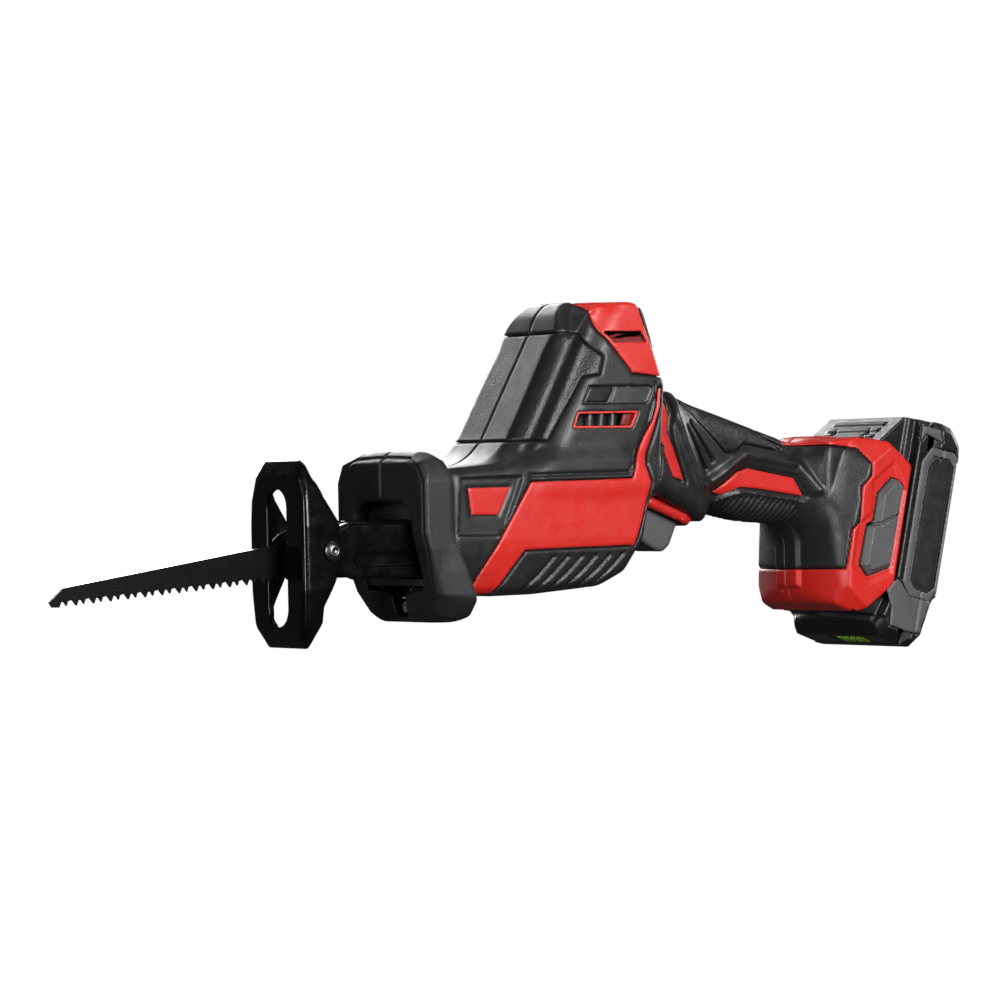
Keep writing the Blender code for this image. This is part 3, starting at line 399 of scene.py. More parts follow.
# Outlines of its blocks, as (x, z).
BODY = [(59, -19), (101, -18.6), (131, -16.3), (142, -11), (150, 3), (152, 14), (158, 30), (140, 36),
        (59, 30.5)]
HUMP = [(78, 20), (84, 32), (92.5, 41.4), (115, 81.5), (119, 90), (124, 94.3), (150, 94.3),
        (153.5, 92), (161.8, 62), (158, 20)]
NECK = [(150, 24), (152, 14), (159.5, 16.5), (163, 18.6), (182, 9.6), (187.0, 6.6), (191.5, 14.5),
        (186, 40), (184, 52.0), (176, 57), (163, 62), (155, 66)]
GRIP = [(184, 24), (187, 14.6), (191.7, 13.2), (203.4, 9.1), (214.9, 6.7), (226, 5.7), (252, 4),
        (252, 38), (240.6, 37), (223.9, 42.3), (203.7, 49), (176, 57.5), (170, 40)]
FOOT = [(236, 12), (236, -20), (241.5, -26.5), (252, -31), (256.5, -29), (270, -20), (280.5, 28),
        (269.7, 38.6), (258.7, 40.2), (244, 38.8)]
FOOT_FACE = [(269.7, 35.4), (280.5, 28.1), (270.1, -19.7), (255.9, -28.6), (246.5, -19.6),
             (250.6, 8.2), (258.9, 28.4)]

# Outlines and lines of what shows on it.
RED_BODY = [(96.5, 24.8), (143.3, 25.3), (146.5, 34), (150.6, 41.4), (154.8, 47.5), (157.2, 53.7),
            (158.3, 60.5), (159.6, 60.5), (158.9, 53.0), (157.1, 48.2), (154.7, 42.2), (150.8, 34),
            (149.9, 30.6), (152.1, 23.6), (150.1, 15.2), (144.2, -1.0), (141.4, -0.6), (93.3, -1.3),
            (80.5, -18), (69.3, -18), (72.7, -11)]
STRIPE = [(162.8, 62), (165.0, 62), (167.2, 48.6), (166.0, 43.3), (169.0, 37.4), (174.4, 23.6),
          (168.6, 25.4), (163.8, 36.8), (161.9, 43.8), (162.7, 50)]
HUMP_BORDER = [(157.0, 62), (156.6, 57), (152.5, 47), (148.3, 39), (144.2, 31.5), (141.6, 27.6),
               (96, 27.2)]
STRIPE_SHADOW = [(169.2, 60), (168.7, 50.9), (167.4, 44.9), (168.2, 39.4), (174.4, 23.0)]
CAP = [(127.8, 98), (150, 98), (153.2, 85.7), (160.6, 64.8), (146.6, 66.4), (133.1, 83.2)]
CAP_SLOT = [(135.5, 82.4), (151.7, 82.4), (153.9, 78.4), (138.8, 78.6)]
PANEL = [(60, 41), (85, 81), (120.6, 82), (124.3, 81.3), (133.4, 72.6), (131.3, 66.1), (124.6, 65.2),
         (108.4, 40.6)]
POCKET = [(126.2, 61.4), (154.2, 61.3), (155.6, 60.2), (153.0, 55.2), (151.4, 54.3), (122.7, 54.2)]
POCKET_INSERT = [(127.2, 60.8), (138.6, 60.8), (135.2, 54.8), (123.9, 54.8)]
VENT = [(120.6, 51.4), (148.4, 51.5), (145.0, 45.0), (117.7, 45.1)]
VANES = (126.8, 132.0, 137.2)
PLATE_RECESS = [(64.9, 26.4), (91.9, 26.6), (82.8, 5.0), (63.2, 5.4)]
PLATE = [(67.6, 23.0), (87.1, 23.1), (81.6, 12.3), (68.9, 12.5)]
RED_FOOT = [(229.8, 37.2), (245, 37.0), (256.6, 35.6), (260.0, 29.1), (259.4, 24.1), (254.8, 19.9),
            (253.1, 5.7), (249.5, 2.9), (246.4, -12.9), (228.4, -13.3), (228.4, -40), (300, -40),
            (300, 60), (236, 60)]
FOOT_RECESS = [(270.5, 29.1), (260.2, 22), (259.5, 9.3), (252.7, 5.1), (248.9, -11.7), (256.6, -18.9),
               (268.1, -14.9), (276, 18)]
RELEASE = [(269.5, 23.1), (272.8, 22), (274.9, 19.4), (267.2, -12.7), (256, -15.8), (252.6, -11.3),
           (256.6, 4.2), (260.0, 6.2), (262.5, 17.2)]
LOCK_OFF_SLOT = [(157.2, 24.5), (161.9, 24.5), (163.9, 38.5), (159.5, 38.5)]
BAND = [(172.2, 58), (171.4, 49.6), (175.4, 39.7), (184.5, 22.0), (188.8, 22.7), (206.5, 34.0),
        (232.4, 29.6), (238.6, 19.0)]
INLAY = [(191.7, 19.1), (202.3, 26.9), (207.6, 28.3), (230.4, 24.0), (235.0, 16.5), (211.8, 20.1),
         (203.9, 20.6), (195.1, 17.6)]
PALM = [(177.0, 55.5), (184.8, 46.7), (196.5, 35.0), (200.9, 34.9), (206.6, 38.4), (225.0, 35.2),
        (219.5, 40.5), (211, 60), (177, 70)]
PALM_GROOVES = ([(179.1, 47.2), (190.4, 31.6)], [(177.0, 45.4), (187.4, 28.6)],
                [(209.9, 41.2), (226.0, 35.0)], [(214.0, 42.3), (230.6, 35.6)])
RIB_PITCH = 2.7
RIBS = [(192.3, 13.5), (200.2, 16.8), (207.3, 18.1), (232.8, 14.0), (234.5, 10.4), (233.4, 5),
        (228, 2), (196, 5)]


def hump_block(g):
    """The motor's hump: a flat nose, a hollow behind its corner, and cheeks that flare at the vents."""
    front = ramp(g.z, (20, 78), (32, 84), (41.4, 92.5), (81.5, 115), (90, 119), (94.3, 124))
    back = g.x - front
    lean = ramp(g.z, (30, 1.02), (60, 1.0), (80, 0.95), (95, 0.88))
    half = soften(ramp(back, (0, 24.8), (6, 24.8), (14, 21.6), (22, 26.4), (45, 27.2)), 3) * lean
    edge = ramp(back, (0, 9), (9, 8), (20, 3)) * ramp(g.z, (76, 1), (93, 0.45))
    block = slab(soften(polygon(g.x, g.z, HUMP), 3), g.side, half, edge)
    corner = 0.8 * g.side + 0.6 * g.z - 66.2 - ramp(back, (6, 0), (18, 11))  # the sloping upper edge
    return common(block, corner, 1.5)


def foot_block(g):
    """The foot: a bowed front, and side faces that fall away in a chamfer outside their own outline."""
    face = polygon(g.x, g.z, FOOT_FACE)
    half = 31 - 0.8 * np.clip(face, 0, 10)
    block = slab(soften(polygon(g.x, g.z, FOOT), 1), g.side, half, 1.6)
    rib = np.clip((8.2 - g.side) / 1.4, 0, 1) * ramp(g.z, (-20.5, 0), (-19.5, 1), (6, 1), (11, 0))
    front = 239 + 5.5 * (g.side / 28) ** 2 - g.x - 1.5 * rib
    return common(block, front, 2.5)


def housing_shape(g):
    """The housing's outer surface without its relief, but with the line where its halves meet."""
    low_body = ramp(g.z, (-20, 23.5), (-15, 25.6), (-2, 28.8), (3, 29.4), (24, 29.4), (31, 28.4))
    body = slab(soften(polygon(g.x, g.z, BODY), 2), g.side, low_body, 4.5)
    neck_half = ramp(g.x, (160, 21.5), (172, 21), (190, 17.6))
    neck = slab(soften(polygon(g.x, g.z, NECK), 2), g.side, neck_half, ramp(g.z, (16, 6), (50, 12)))
    grip_half = ramp(g.x, (180, 18.5), (205, 17.4), (235, 17.6), (250, 22))
    grip = slab(soften(polygon(g.x, g.z, GRIP), 3), g.side, grip_half, 14)
    shape = union(body, hump_block(g), 6)
    shape = union(shape, neck, 3)
    shape = union(shape, grip, 4)
    shape = union(shape, foot_block(g), 9)
    return shape + 0.5 * bump(g.side, 0.9)


def grip_relief(g, shape):
    """The grip's raised band, its grooves, its finger ribs and the dark frame round the inlay."""
    shape = shape - 1.6 * bump(polyline(g.x, g.z, BAND), 3.4)
    shape = shape + 1.6 * bump(polyline(g.x, g.z, STRIPE_SHADOW), 1.8)
    for line in PALM_GROOVES:
        shape = shape + 2.0 * bump(polyline(g.x, g.z, line), 1.0)
    shape = shape + 0.8 * bump(np.clip(polygon(g.x, g.z, INLAY) - 1.3, 0, None), 0.7)
    ribs = polygon(g.x, g.z, RIBS)
    wave = np.sin((g.x - 0.45 * g.z) * (2 * math.pi / RIB_PITCH))
    shape = shape + np.where(ribs < 0, np.clip(-ribs, 0, 1), 0) * (0.9 + 0.7 * wave)
    return shape + 0.6 * bump(np.abs(ribs), 0.8)


def housing_openings(g):
    """Where the housing is open: for the nose, the trigger, the lock-off button and the pack."""
    across, deep = g.turned(TRIGGER_LEAN, TRIGGER_FACE)
    v, _ = g.turned(PACK_TILT)
    nose = overlap(g.x - 64, g.side - 24, -14.5 - g.z, g.z - 24)
    mouth = overlap(np.abs(across - 0.6) - 10.6, g.side - 10.2, deep - 9, -14 - deep)
    slot = overlap(polygon(g.x, g.z, LOCK_OFF_SLOT), 8 - g.side)
    channel = overlap(251.2 - v, g.side - 27.2)
    press = overlap(polygon(g.x, g.z, RELEASE) - 0.35, 24 - g.side)
    return functools.reduce(np.minimum, (channel, nose, mouth, slot, press))


def louvre(i):
    """The middle line of groove i of the lower side, which are counted from the nose."""
    top = (106.9 + 6.5 * i, -3.2 if i == LOUVRES - 1 else -4.0)
    end = (92.9 + 6.65 * i, -17.6 + 0.4 * i)
    return [top, ((top[0] + end[0]) / 2 + 0.8, (top[1] + end[1]) / 2), end]


def housing():
    """The black shell of the housing and the finishes set into it, from one set of distances."""
    g = Grid((56, -34.2, -33.6), (286, 0.9, 97.5), 0.6)
    shape = housing_shape(g)
    inner = overlap(-(shape + WALL), -housing_openings(g), g.y + SEAM)

    def region(corners):
        return polygon(g.x, g.z, corners)

    red_body, stripe, cap, panel, foot = (region(c) for c in (RED_BODY, STRIPE, CAP, PANEL, RED_FOOT))
    plate, inlay, palm, vent, pocket = (region(c) for c in (PLATE, INLAY, PALM, VENT, POCKET))
    skin = grip_relief(g, shape)
    on_side = g.side > SIDE_FROM
    pocket_depth = ramp(g.x - 0.45 * (g.z - 58), (120, 2.1), (137, 2.1), (137.6, 1.5), (154, 0.7))
    skin = np.where(on_side, np.maximum(skin, np.minimum(shape + pocket_depth, -pocket)), skin)
    recess = region(PLATE_RECESS)
    skin = skin + 1.3 * bump(np.clip(recess, 0, None), 0.8) * on_side
    for i in range(LOUVRES):
        skin = skin + 0.9 * bump(polyline(g.x, g.z, louvre(i)), 1.0) * on_side
    skin = skin + 1.0 * bump(polyline(g.x, g.z, HUMP_BORDER), 1.2) * on_side

    def set_in(skin, area, rounding=1.2):
        """The skin with a seat for a finish that is INLAY_DEPTH deep."""
        return common(skin, np.minimum(GROOVE - area, shape + INLAY_DEPTH + 0.2), rounding)

    black = skin
    for area in (red_body, stripe, cap, panel, foot, palm):
        black = set_in(black, area)
    for area in (plate, inlay):
        black = np.where(on_side, set_in(black, area, 0.8), black)
    for outside in (-vent, 0.4 - region(CAP_SLOT)):
        black = np.where(on_side, np.maximum(black, np.minimum(outside, shape + VENT_DEPTH)), black)
    black = np.maximum(black, inner)
    bodies = ("body", "body")
    halves = (("housing_left",), ("housing_right",))
    pair("overmould", black, g, "soft_black", bodies, halves)

    def inlaid(name, area, finish, lower=0.0, rounding=0.8, depth=INLAY_DEPTH, surface=None,
               sides=True):
        """A finish set into the overmould, its face lower than the shape by lower.

        Where sides is true, it stays on the side faces and doesn't go round over the top or the bottom.
        """
        face = (shape if surface is None else surface) + lower
        field = np.maximum(common(face, area, rounding), -(shape + depth))
        if sides:
            field = np.maximum(field, SIDE_FROM - 0.5 - g.side)
        pair(name, np.maximum(field, inner), g, finish, bodies)

    inlaid("side_panel", red_body, "red", 0.35, sides=False)
    inlaid("stripe", stripe, "red", 0.4, sides=False)
    inlaid("hump_pad", panel, "coarse_black", 0.1, sides=False)
    inlaid("palm_pad", palm, "coarse_black", 0.0, 1.2, sides=False)
    inlaid("nose_plate", plate, "red", 0.5)
    inlaid("grip_inlay", inlay, "red", 0.4)
    inlaid("pocket_insert", region(POCKET_INSERT), "gloss_black", 1.8, 0.3, 2.6)

    slot = region(CAP_SLOT)
    cap_skin = np.where(on_side, np.maximum(shape, -slot), shape)
    inlaid("vent_cap", cap, "red", 0.2, surface=cap_skin, sides=False)
    # The cap slot's floor, in red darkened as painted shade.
    slope = 2.4 + 0.25 * (g.z - 80)
    inlaid("slot_lining", slot - 1.0, "painted_shade_red", slope, 0.4, 4.6)
    inlaid("vent_rim", np.abs(vent + 0.35) - 0.5, "red", 0.1, 0.3, 2.4)
    vanes = np.minimum.reduce([np.abs(g.x - 0.12 * (g.z - 48) - x) - 0.7 for x in VANES])
    inlaid("vent_vanes", np.maximum(vanes, vent + 0.5), "grey", 1.7, 0.3, 5.0)
    # The vent's end wall, in red darkened as painted shade.
    vent_end = np.maximum(vent + 0.8, 141.2 + 0.35 * (g.z - 48) - g.x)
    inlaid("vent_end", vent_end, "painted_shade_red", 1.6, 0.3, 3.2)
    duct = overlap(vent - 2.5, shape + 5.6, -(shape + 7.0), SIDE_FROM - 0.5 - g.side)
    pair("vent_duct", duct, g, "gloss_black", bodies)

    step_down = 0.7 * bump(np.clip(region(FOOT_RECESS), 0, None), 0.7) * (g.side > 26)
    inlaid("foot", foot, "red", 0.2, surface=shape + step_down, sides=False)


# --- Nose -----------------------------------------------------------------------------------------


def from_pivot(g):
    """Distance from the axis of the shoe's rivets."""
    return np.hypot(g.x - SHOE_PIVOT[0], g.z - SHOE_PIVOT[1])


def nose_boot():
    """The rubber boot: a ring round the nose, with a lip, a groove behind it and a notch for the lamp."""
    g = Grid((44, -34.5, -30), (71.5, 34.5, 40.2), 0.5)
    side = [(46.2, 6), (46.2, 33), (51.0, 38.2), (56, 37.2), (58.7, 31), (58.7, 6.5), (69.3, -20),
            (69.3, -26), (65, -28.2), (55.3, -28.2)]
    front = [(0, 38.4), (20, 37.8), (29, 34), (33.4, 26), (33.4, 0), (30.4, -17), (24, -24.2),
             (15, -28.6)]
    front = front + [(-y, z) for y, z in front[:0:-1]]
    spread = ramp(g.x, (53, 0), (66, 4)) * ramp(g.z, (-8, 1), (2, 0))
    face = polygon(g.y, g.z, front)
    boot = slab(soften(polygon(g.x, g.z, side), 1), g.side, 33.2, 1.2)
    boot = common(boot, face - spread, 3.2)
    swept = ramp(g.z, (-28, 55.3), (6, 46.2))
    boot = boot + 0.7 * bump(np.abs(face + 3.4), 0.9) * (g.x < swept + 4)
    boot = boot + 1.3 * bump(g.side, 0.9) * (g.z > 10)
    mouth = [(0, 17.8), (14, 17.6), (19, 14), (20.8, 8), (20.8, -12), (17.5, -15.2), (0, -16)]
    mouth = polygon(g.side, g.z, mouth + [(-20, -16), (-20, 17.8)])
    boot = common(boot, -mouth, 3)
    lamp = overlap(g.side - 4.4 - 0.3 * (g.z + 22), g.z + 14, -25.6 - g.z)
    boot = common(boot, -lamp, 1.5)
    seat = overlap(58.7 - g.x, g.side - 29.8, g.z - 33, -19.3 - g.z)
    case = overlap(52.4 - g.x, g.side - 23.3, g.z - 22.3, -15.6 - g.z)
    boot = np.maximum(boot, -np.minimum(seat, case))
    solid("boot", boot, g, "rubber", "body", ("nose_boot",))


def shoe():
    """The shoe: a sheet bent round to two flanges, with a slot for the blade in its face."""
    g = Grid((-1.2, -23, -39), (19, 23, 38), 0.4)
    side = [(0, -28.5), (0, 29), (3.2, 35.3), (5.3, 33.1), (7.3, 27.9), (9.4, 25.2), (10.5, 20.5),
            (16.4, 10.9), (16.9, 0.3), (14.6, -10.6), (9.5, -20.5), (9.3, -26.7), (5.4, -36), (3.6, -37)]
    inner = [(2, -28.8), (2, 28.4), (6.3, 33.6), (30, 33.6), (30, -34.6), (5.0, -34.6)]
    outside = slab(soften(polygon(g.x, g.z, side), 1), g.side, 21.5, 2.4)
    front = [(-20, 38), (14.5, 38), (17, 29), (20.6, 20), (21.7, 10), (21.7, -14), (19.6, -27),
             (14.5, -38), (-20, -38)]
    round_front = polygon(g.side, g.z, front)
    outside = common(outside, round_front, 4)
    inside = common(slab(polygon(g.x, g.z, inner), g.side, 19.5, 1.2), round_front + 2, 3)
    sheet = common(outside, -inside, 0.5)
    slot = np.hypot(g.y, np.maximum(np.abs(g.z + 2) - 18.8, 0)) - 7
    sheet = common(sheet, -np.maximum(slot, g.x - 8), 0.8)
    for stop in (20.0, -20.0):
        relief = overlap(8.2 - g.x, g.side - 18, (stop - g.z) * np.sign(stop))
        sheet = np.maximum(sheet, -relief)
    sheet = np.maximum(sheet, PIVOT_HOLE - from_pivot(g))
    solid("shoe_plate", sheet, g, "painted_steel", "shoe", ("shoe",))


def bracket():
    """The bracket that carries the shoe: a channel open at the top, with an embossed side."""
    g = Grid((6, -20.4, -12.6), (65, 20.4, 12.6), 0.4)
    side = [(7.5, -3.5), (7.5, 4.5), (11, 7.5), (20, 10.8), (63.5, 10.8), (63.5, -10.8),
            (22, -10.8), (12, -7.0)]
    outside = slab(soften(polygon(g.x, g.z, side), 1), g.side, 19, 1.8)
    emboss = np.hypot(np.maximum(np.abs(g.x - 42) - 16.5, 0), g.z + 3.4) - 3.0
    outside = outside + 0.7 * bump(np.clip(emboss + 0.8, 0, None), 0.8) * (g.side > 14)
    top_bead = np.hypot(np.maximum(np.abs(g.x - 42) - 18, 0), g.side - 8) - 1.2
    outside = outside - 0.7 * bump(np.clip(top_bead, 0, None), 1.2) * (g.z > 8)
    channel = np.maximum(g.side - 17.4, g.z - 9.2)
    relief = overlap(g.x - 24, g.side - 15.5, -g.z)
    body = overlap(common(outside, -channel, 0.6), -relief, PIVOT_HOLE - from_pivot(g))
    solid("bracket_channel", body, g, "painted_steel", "shoe_bracket", ("shoe_bracket",))


def rivets():
    """Domed rivet heads with a round recess."""
    g = Grid((7.5, -26, -4), (16.5, -17.6, 5), 0.22)
    radius = from_pivot(g)
    out = g.side - 21.6  # from the shoe's side face
    head = np.maximum(np.hypot(radius, out + 3.2) - 5.0, -out)
    head = common(head, -(np.hypot(radius, out - 2.6) - 1.7), 0.3)
    stem = overlap(radius - 1.9, out, -out - 2.6)
    pair("rivet", union(head, stem, 0.2), g, "dark_steel", ("shoe", "shoe"),
         (("shoe_rivet_left",), ("shoe_rivet_right",)))


# --- Trigger and buttons --------------------------------------------------------------------------


def trigger():
    """The trigger, in its own leaning axes, with a hollow for the finger."""
    g = Grid((154, -9.6, -7), (184, 9.6, 23), 0.35)
    across, deep = g.turned(TRIGGER_LEAN, TRIGGER_FACE)
    outline = [(-9.2, -11), (-6.5, -14.5), (-1, -16.2), (4, -16.8), (7.8, -16.0), (9.8, -12.4),
               (10.4, 3.8), (-9.2, 3.8)]
    flat = soften(polygon(across, deep, outline), 2)
    edge = ramp(across - 0.5 * deep, (-12, 5.5), (2, 1.6)) * (deep < -4) + 1.4 * (deep >= -4)
    block = slab(flat, g.side, 8.9, soften(edge.astype(np.float32), 3))
    scoop = np.hypot(across + 15.5, deep + 11) - 8.6
    block = common(block, -scoop, 1.2)
    spring_well = np.maximum(np.hypot(across, g.y) - 3.9, -2.6 - deep)
    block = np.maximum(block, -spring_well)
    solid("trigger_block", block, g, "grey", "trigger", ("trigger",))


def bezel():
    """The red ring round the trigger."""
    g = Grid((155, -15.2, 3.0), (187, 15.2, 22.5), 0.35)
    across, deep = g.turned(TRIGGER_LEAN, TRIGGER_FACE)
    ring = slab(np.abs(across - 0.9) - 12.0, g.side, 11.9, 4.0)
    tube = np.hypot(ring, (deep + 0.6) * 0.8) - 1.9
    solid("trigger_ring", tube, g, "red", "body", ("trigger_bezel",))


def release_buttons():
    """The buttons that let the pack go, each with a line across its upper part."""
    g = Grid((250, -34.4, -18), (277, -26.4, 26), 0.35)
    flat = polygon(g.x, g.z, RELEASE)
    button = faceted(flat, g.side, 33, 2.0)
    split = polyline(g.x, g.z, [(256.6, 4.6), (262.0, 4.9), (271.5, 8.5)])
    button = button + 1.2 * bump(split, 0.9)
    button = np.maximum(button, 27.7 - g.side)
    pair("release_key", button, g, "grey", ("release_left", "release_right"),
         (("release_button_left",), ("release_button_right",)))


# --- Battery pack ---------------------------------------------------------------------------------

PACK_HALF = 31.4  # half the width of the cases
CASE_INSIDE = 28.8  # half the width inside the rear case
BADGE_FROM = 26.5  # out from the middle, where the grey and black side pieces start
SEAT_DEPTH = 1.1  # of those pieces
TOP_RIDGES = (100.2, 103.4, 106.6)
BAR_PITCH = 4.4  # of the charge gauge

# Outlines in the pack's tilted axes, as (to the rear, up).
PACK_FRONT = [(251.9, 24.5), (251.9, 97.0), (263, 109.8), (275.6, 110.2), (275.6, 18.4),
              (265.8, 19.8), (262.4, 24.5)]
PACK_REAR = [(276.0, 18.2), (281, 18.2), (286, 24), (288.8, 38), (291.2, 41.5), (291.2, 99),
             (290.6, 103.5), (285, 109.6), (280, 110.5), (276.0, 110.5)]
GAUGE = [(268.5, 20.0), (273.6, 19.3), (273.6, 18.5), (268.5, 19.2)]
LABEL = [(274.2, 91.5), (276.6, 96), (284.4, 96.2), (287.3, 93.4), (287.0, 44.2), (284.0, 41.4),
         (277.0, 41.6), (273.9, 45.0)]
PACK_WHOLE = [(251.9, 24.5), (251.9, 97.0), (263, 109.8), (275.6, 110.5), (280, 110.5), (285, 109.6),
              (290.6, 103.5), (291.2, 99), (291.2, 41.5), (288.8, 38), (286, 24), (281, 18.2),
              (275, 18.2), (265.8, 19.8), (262.4, 24.5)]
TOP_FACET = [(268.4, 107.6), (277.5, 107.3), (279.7, 102.6), (270.4, 104.3), (268.4, 100.5)]
LOW_BLOCK = [(266.3, 42.5), (263.6, 38.3), (267.0, 32.2), (267.6, 24.9), (276.8, 23.9), (283.2, 24.1),
             (284.7, 33.6), (287.2, 38.1), (275.6, 38.0), (268.4, 44.0)]
FRAME = [(270.6, 93.2), (274.8, 99.6), (286.2, 99.8), (291.3, 95.2), (291.3, 42), (286.6, 37.8),
         (275.4, 38), (270.6, 43.4)]
RAIL_ROOM = [(240, 24.2), (240, 130), (267.8, 130), (267.8, 40), (262, 24.2)]
PRESS_ROOM = [(240, 41.5), (240, 130), (264, 130), (264, 41.5)]
CELL_ROOM = [(255, 30), (255, 94), (264.5, 106), (280, 106), (280, 23.5), (270, 23.5), (266, 30)]
BACK_ROOM = [(269.4, 29), (269.4, 101.5), (280, 101.5), (280, 29)]
CONTACT_SLOT = [(245, 72), (245, 120), (258.5, 120), (258.5, 72)]
GAUGE_SEAT = [(266.3, 14), (274.9, 14), (274.9, 20.2), (266.3, 21.4)]
REAR_ROOM = [(270, 23), (280, 23), (284.4, 27), (286.6, 38), (288.6, 43), (288.6, 98), (283, 106),
             (270, 106)]


def pack():
    """The pack's front and rear cases, and the grey and black pieces set into their sides."""
    g = Grid((249, -33, -48), (309, 33, 50), 0.6)
    v, u = g.turned(PACK_TILT)

    def region(corners):
        return polygon(v, u, corners)

    front = faceted(region(PACK_FRONT), g.side, PACK_HALF, 4.0)
    rooms = (
        np.maximum(region(RAIL_ROOM), 26.4 - g.side),
        np.maximum(region(PRESS_ROOM), 25.3 - g.side),
        np.maximum(region(CELL_ROOM), g.side - 23),
        np.maximum(region(BACK_ROOM), g.side - CASE_INSIDE),
        np.maximum(region(CONTACT_SLOT), np.abs(g.side - 11) - 1.2),
        np.maximum(region(GAUGE_SEAT), np.abs(g.y + 4) - 10.4),
    )
    for cut in rooms:
        front = np.maximum(front, -cut)
    bow = np.where(u < 27.8, 251.6 + 0.42 * g.side - v, -9)  # of the lower front
    front = common(front, bow, 1.5)
    for ridge in TOP_RIDGES:
        front = front - 0.7 * bump(np.abs(u - ridge), 1.2) * (g.side < 17) * (v < 262)
    rear = faceted(region(PACK_REAR), g.side, PACK_HALF, 3.2)
    rear = np.maximum(rear, -np.maximum(region(REAR_ROOM), g.side - CASE_INSIDE))
    whole = faceted(region(PACK_WHOLE), g.side, PACK_HALF, 3.6)
    label, border, facet, block = (region(c) for c in (LABEL, FRAME, TOP_FACET, LOW_BLOCK))

    def seated(case):
        """The case with a seat for each piece set into its side."""
        for area in (border, facet, block):
            seat = np.maximum(case, np.minimum(0.25 - area, whole + SEAT_DEPTH))
            case = np.where(g.side > BADGE_FROM, seat, case)
        return case

    solid("pack_front", seated(front), g, "hard_black", "battery", ("pack_front_case",))
    solid("pack_rear", seated(rear), g, "hard_black", "battery", ("pack_rear_case",))
    seam = polyline(v, u, [(280.6, 112), (280.6, 97)])
    seam = np.minimum(seam, polyline(v, u, [(280.6, 41), (280.6, 14)]))
    frame_skin = whole - 0.1 + 0.8 * bump(seam, 0.7)
    inside = np.maximum(BADGE_FROM - g.side, -(whole + SEAT_DEPTH - 0.2))
    ring = common(np.maximum(common(frame_skin, border, 0.8), -label + 0.2), inside)
    solid("pack_frame", ring, g, "grey", "battery")
    for name, area in (("pack_facet", facet), ("pack_block", block)):
        piece = common(common(frame_skin, area, 0.6), inside)
        solid(name, piece, g, "grey", "battery")
    groove = 0.4 * bump(np.abs(label + 1.3), 0.5)
    face = common(common(whole + 0.4 + groove, label, 0.5), inside)
    solid("pack_label", face, g, "soft_black", "battery")


def gauge():
    """The four bars of the charge gauge, in its window under the pack."""
    g = Grid((260, -15, -47), (276, 7, -36), 0.25)
    v, u = g.turned(PACK_TILT)
    bars = np.abs((g.y + 3 * BAR_PITCH) % BAR_PITCH - BAR_PITCH / 2) - 1.5
    bars = overlap(bars, np.abs(g.y + BAR_PITCH) - 2 * BAR_PITCH, polygon(v, u, GAUGE))
    solid("gauge_bars", bars, g, "gauge_green", "battery")


# --- Stage ----------------------------------------------------------------------------------------

LIGHT_AIM = (0.02, 0, 0.07)  # m, in the frame's own axes
AMBIENT = 0.05
CAMERA_TURN, CAMERA_TIP, CAMERA_ROLL = math.radians(33), math.radians(0.3), math.radians(1.2)
CAMERA_AT = (-851.85, -1466.76, 27.06)  # in the drawing frame
CAMERA_LENS, CAMERA_SENSOR = 162, 36


def stage():
    """A white floor that lights nothing: only the camera and shadows see it."""
    mesh = bpy.data.meshes.new("floor")
    far = FLOOR_HALF
    mesh.from_pydata([(-far, -far, 0), (far, -far, 0), (far, far, 0), (-far, far, 0)], [], [(0, 1, 2, 3)])
    floor = bpy.data.objects.new("floor", mesh)
    white = bpy.data.materials.new("floor_white")
    white.use_nodes = True
    shader = white.node_tree.nodes["Principled BSDF"]
    shader.inputs["Base Color"].default_value = (0.9, 0.9, 0.9, 1)
    shader.inputs["Roughness"].default_value = 0.9
    shader.inputs["Emission Color"].default_value = (1, 1, 1, 1)
    shader.inputs["Emission Strength"].default_value = 1.0
    mesh.materials.append(white)
    bpy.context.scene.collection.objects.link(floor)
    floor.location.z = cad_box[0][2] - PACK_DROP
    floor.visible_diffuse = floor.visible_glossy = False


def area_light(name, at, size, power):
    """A rectangular lamp of size metres and power watts, aimed at the saw."""
    data = bpy.data.lights.new(name, "AREA")
    data.shape = "RECTANGLE"
    data.size, data.size_y = size
    data.energy = power
    lamp = bpy.data.objects.new(name, data)
    lamp.location = at
    lamp.rotation_euler = (Vector(LIGHT_AIM) - Vector(at)).to_track_quat("-Z", "Y").to_euler()
    bpy.context.scene.collection.objects.link(lamp)


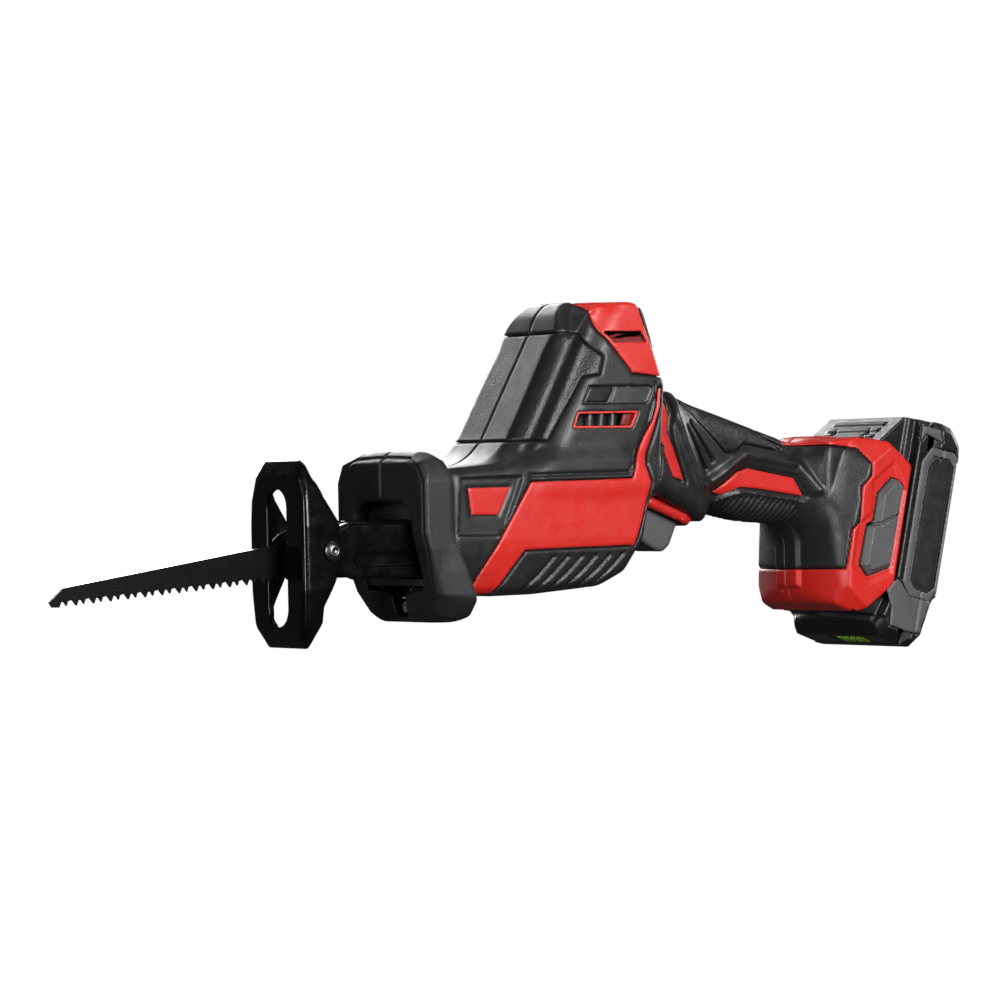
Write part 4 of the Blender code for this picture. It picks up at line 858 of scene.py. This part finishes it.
def light():
    """A world that is white to the camera and dim to the saw, and five lamps round it."""
    world = bpy.data.worlds.new("studio")
    bpy.context.scene.world = world
    world.use_nodes = True
    nodes, links = world.node_tree.nodes, world.node_tree.links
    seen, ambient = nodes["Background"], nodes.new("ShaderNodeBackground")
    seen.inputs["Color"].default_value = (1, 1, 1, 1)
    ambient.inputs["Color"].default_value = (0.98, 0.99, 1, 1)
    ambient.inputs["Strength"].default_value = AMBIENT
    mix = nodes.new("ShaderNodeMixShader")
    links.new(nodes.new("ShaderNodeLightPath").outputs["Is Camera Ray"], mix.inputs["Fac"])
    links.new(ambient.outputs[0], mix.inputs[1])
    links.new(seen.outputs[0], mix.inputs[2])
    links.new(mix.outputs[0], nodes["World Output"].inputs["Surface"])
    area_light("key", (0.05, -1.6, 0.55), (0.7, 0.9), 35)
    area_light("front", (-1.5, -0.7, 0.3), (0.3, 0.9), 13)
    area_light("top", (0.2, 0.2, 1.5), (0.8, 0.4), 1.4)
    area_light("back", (0.4, 1.5, 0.6), (0.8, 0.8), 24)
    area_light("rear", (1.7, 0.2, 0.4), (0.8, 0.8), 14)


def camera():
    """The viewing position: nearly level, and turned from square to the side towards the blade's end."""
    turn, tip, roll = CAMERA_TURN, CAMERA_TIP, CAMERA_ROLL
    forward = Vector((math.sin(turn) * math.cos(tip), math.cos(turn) * math.cos(tip), -math.sin(tip)))
    level = Vector((math.cos(turn), -math.sin(turn), 0))
    upright = level.cross(forward)
    right = level * math.cos(roll) - upright * math.sin(roll)
    up = level * math.sin(roll) + upright * math.cos(roll)
    data = bpy.data.cameras.new("camera")
    data.lens, data.sensor_width = CAMERA_LENS, CAMERA_SENSOR
    data.clip_end = 100
    made = bpy.data.objects.new("camera", data)
    at = ORIGIN + Vector(CAMERA_AT) * MM
    made.matrix_world = Matrix.Translation(at) @ Matrix((right, up, -forward)).transposed().to_4x4()
    bpy.context.scene.collection.objects.link(made)
    bpy.context.scene.camera = made


def main():
    dress_cad()
    builders = (housing, nose_boot, shoe, bracket, rivets, trigger, bezel, release_buttons, pack, gauge)
    for build in builders:
        build()
    stage()
    light()
    camera()


main()
bpy.context.scene.view_settings.view_transform = "Standard"
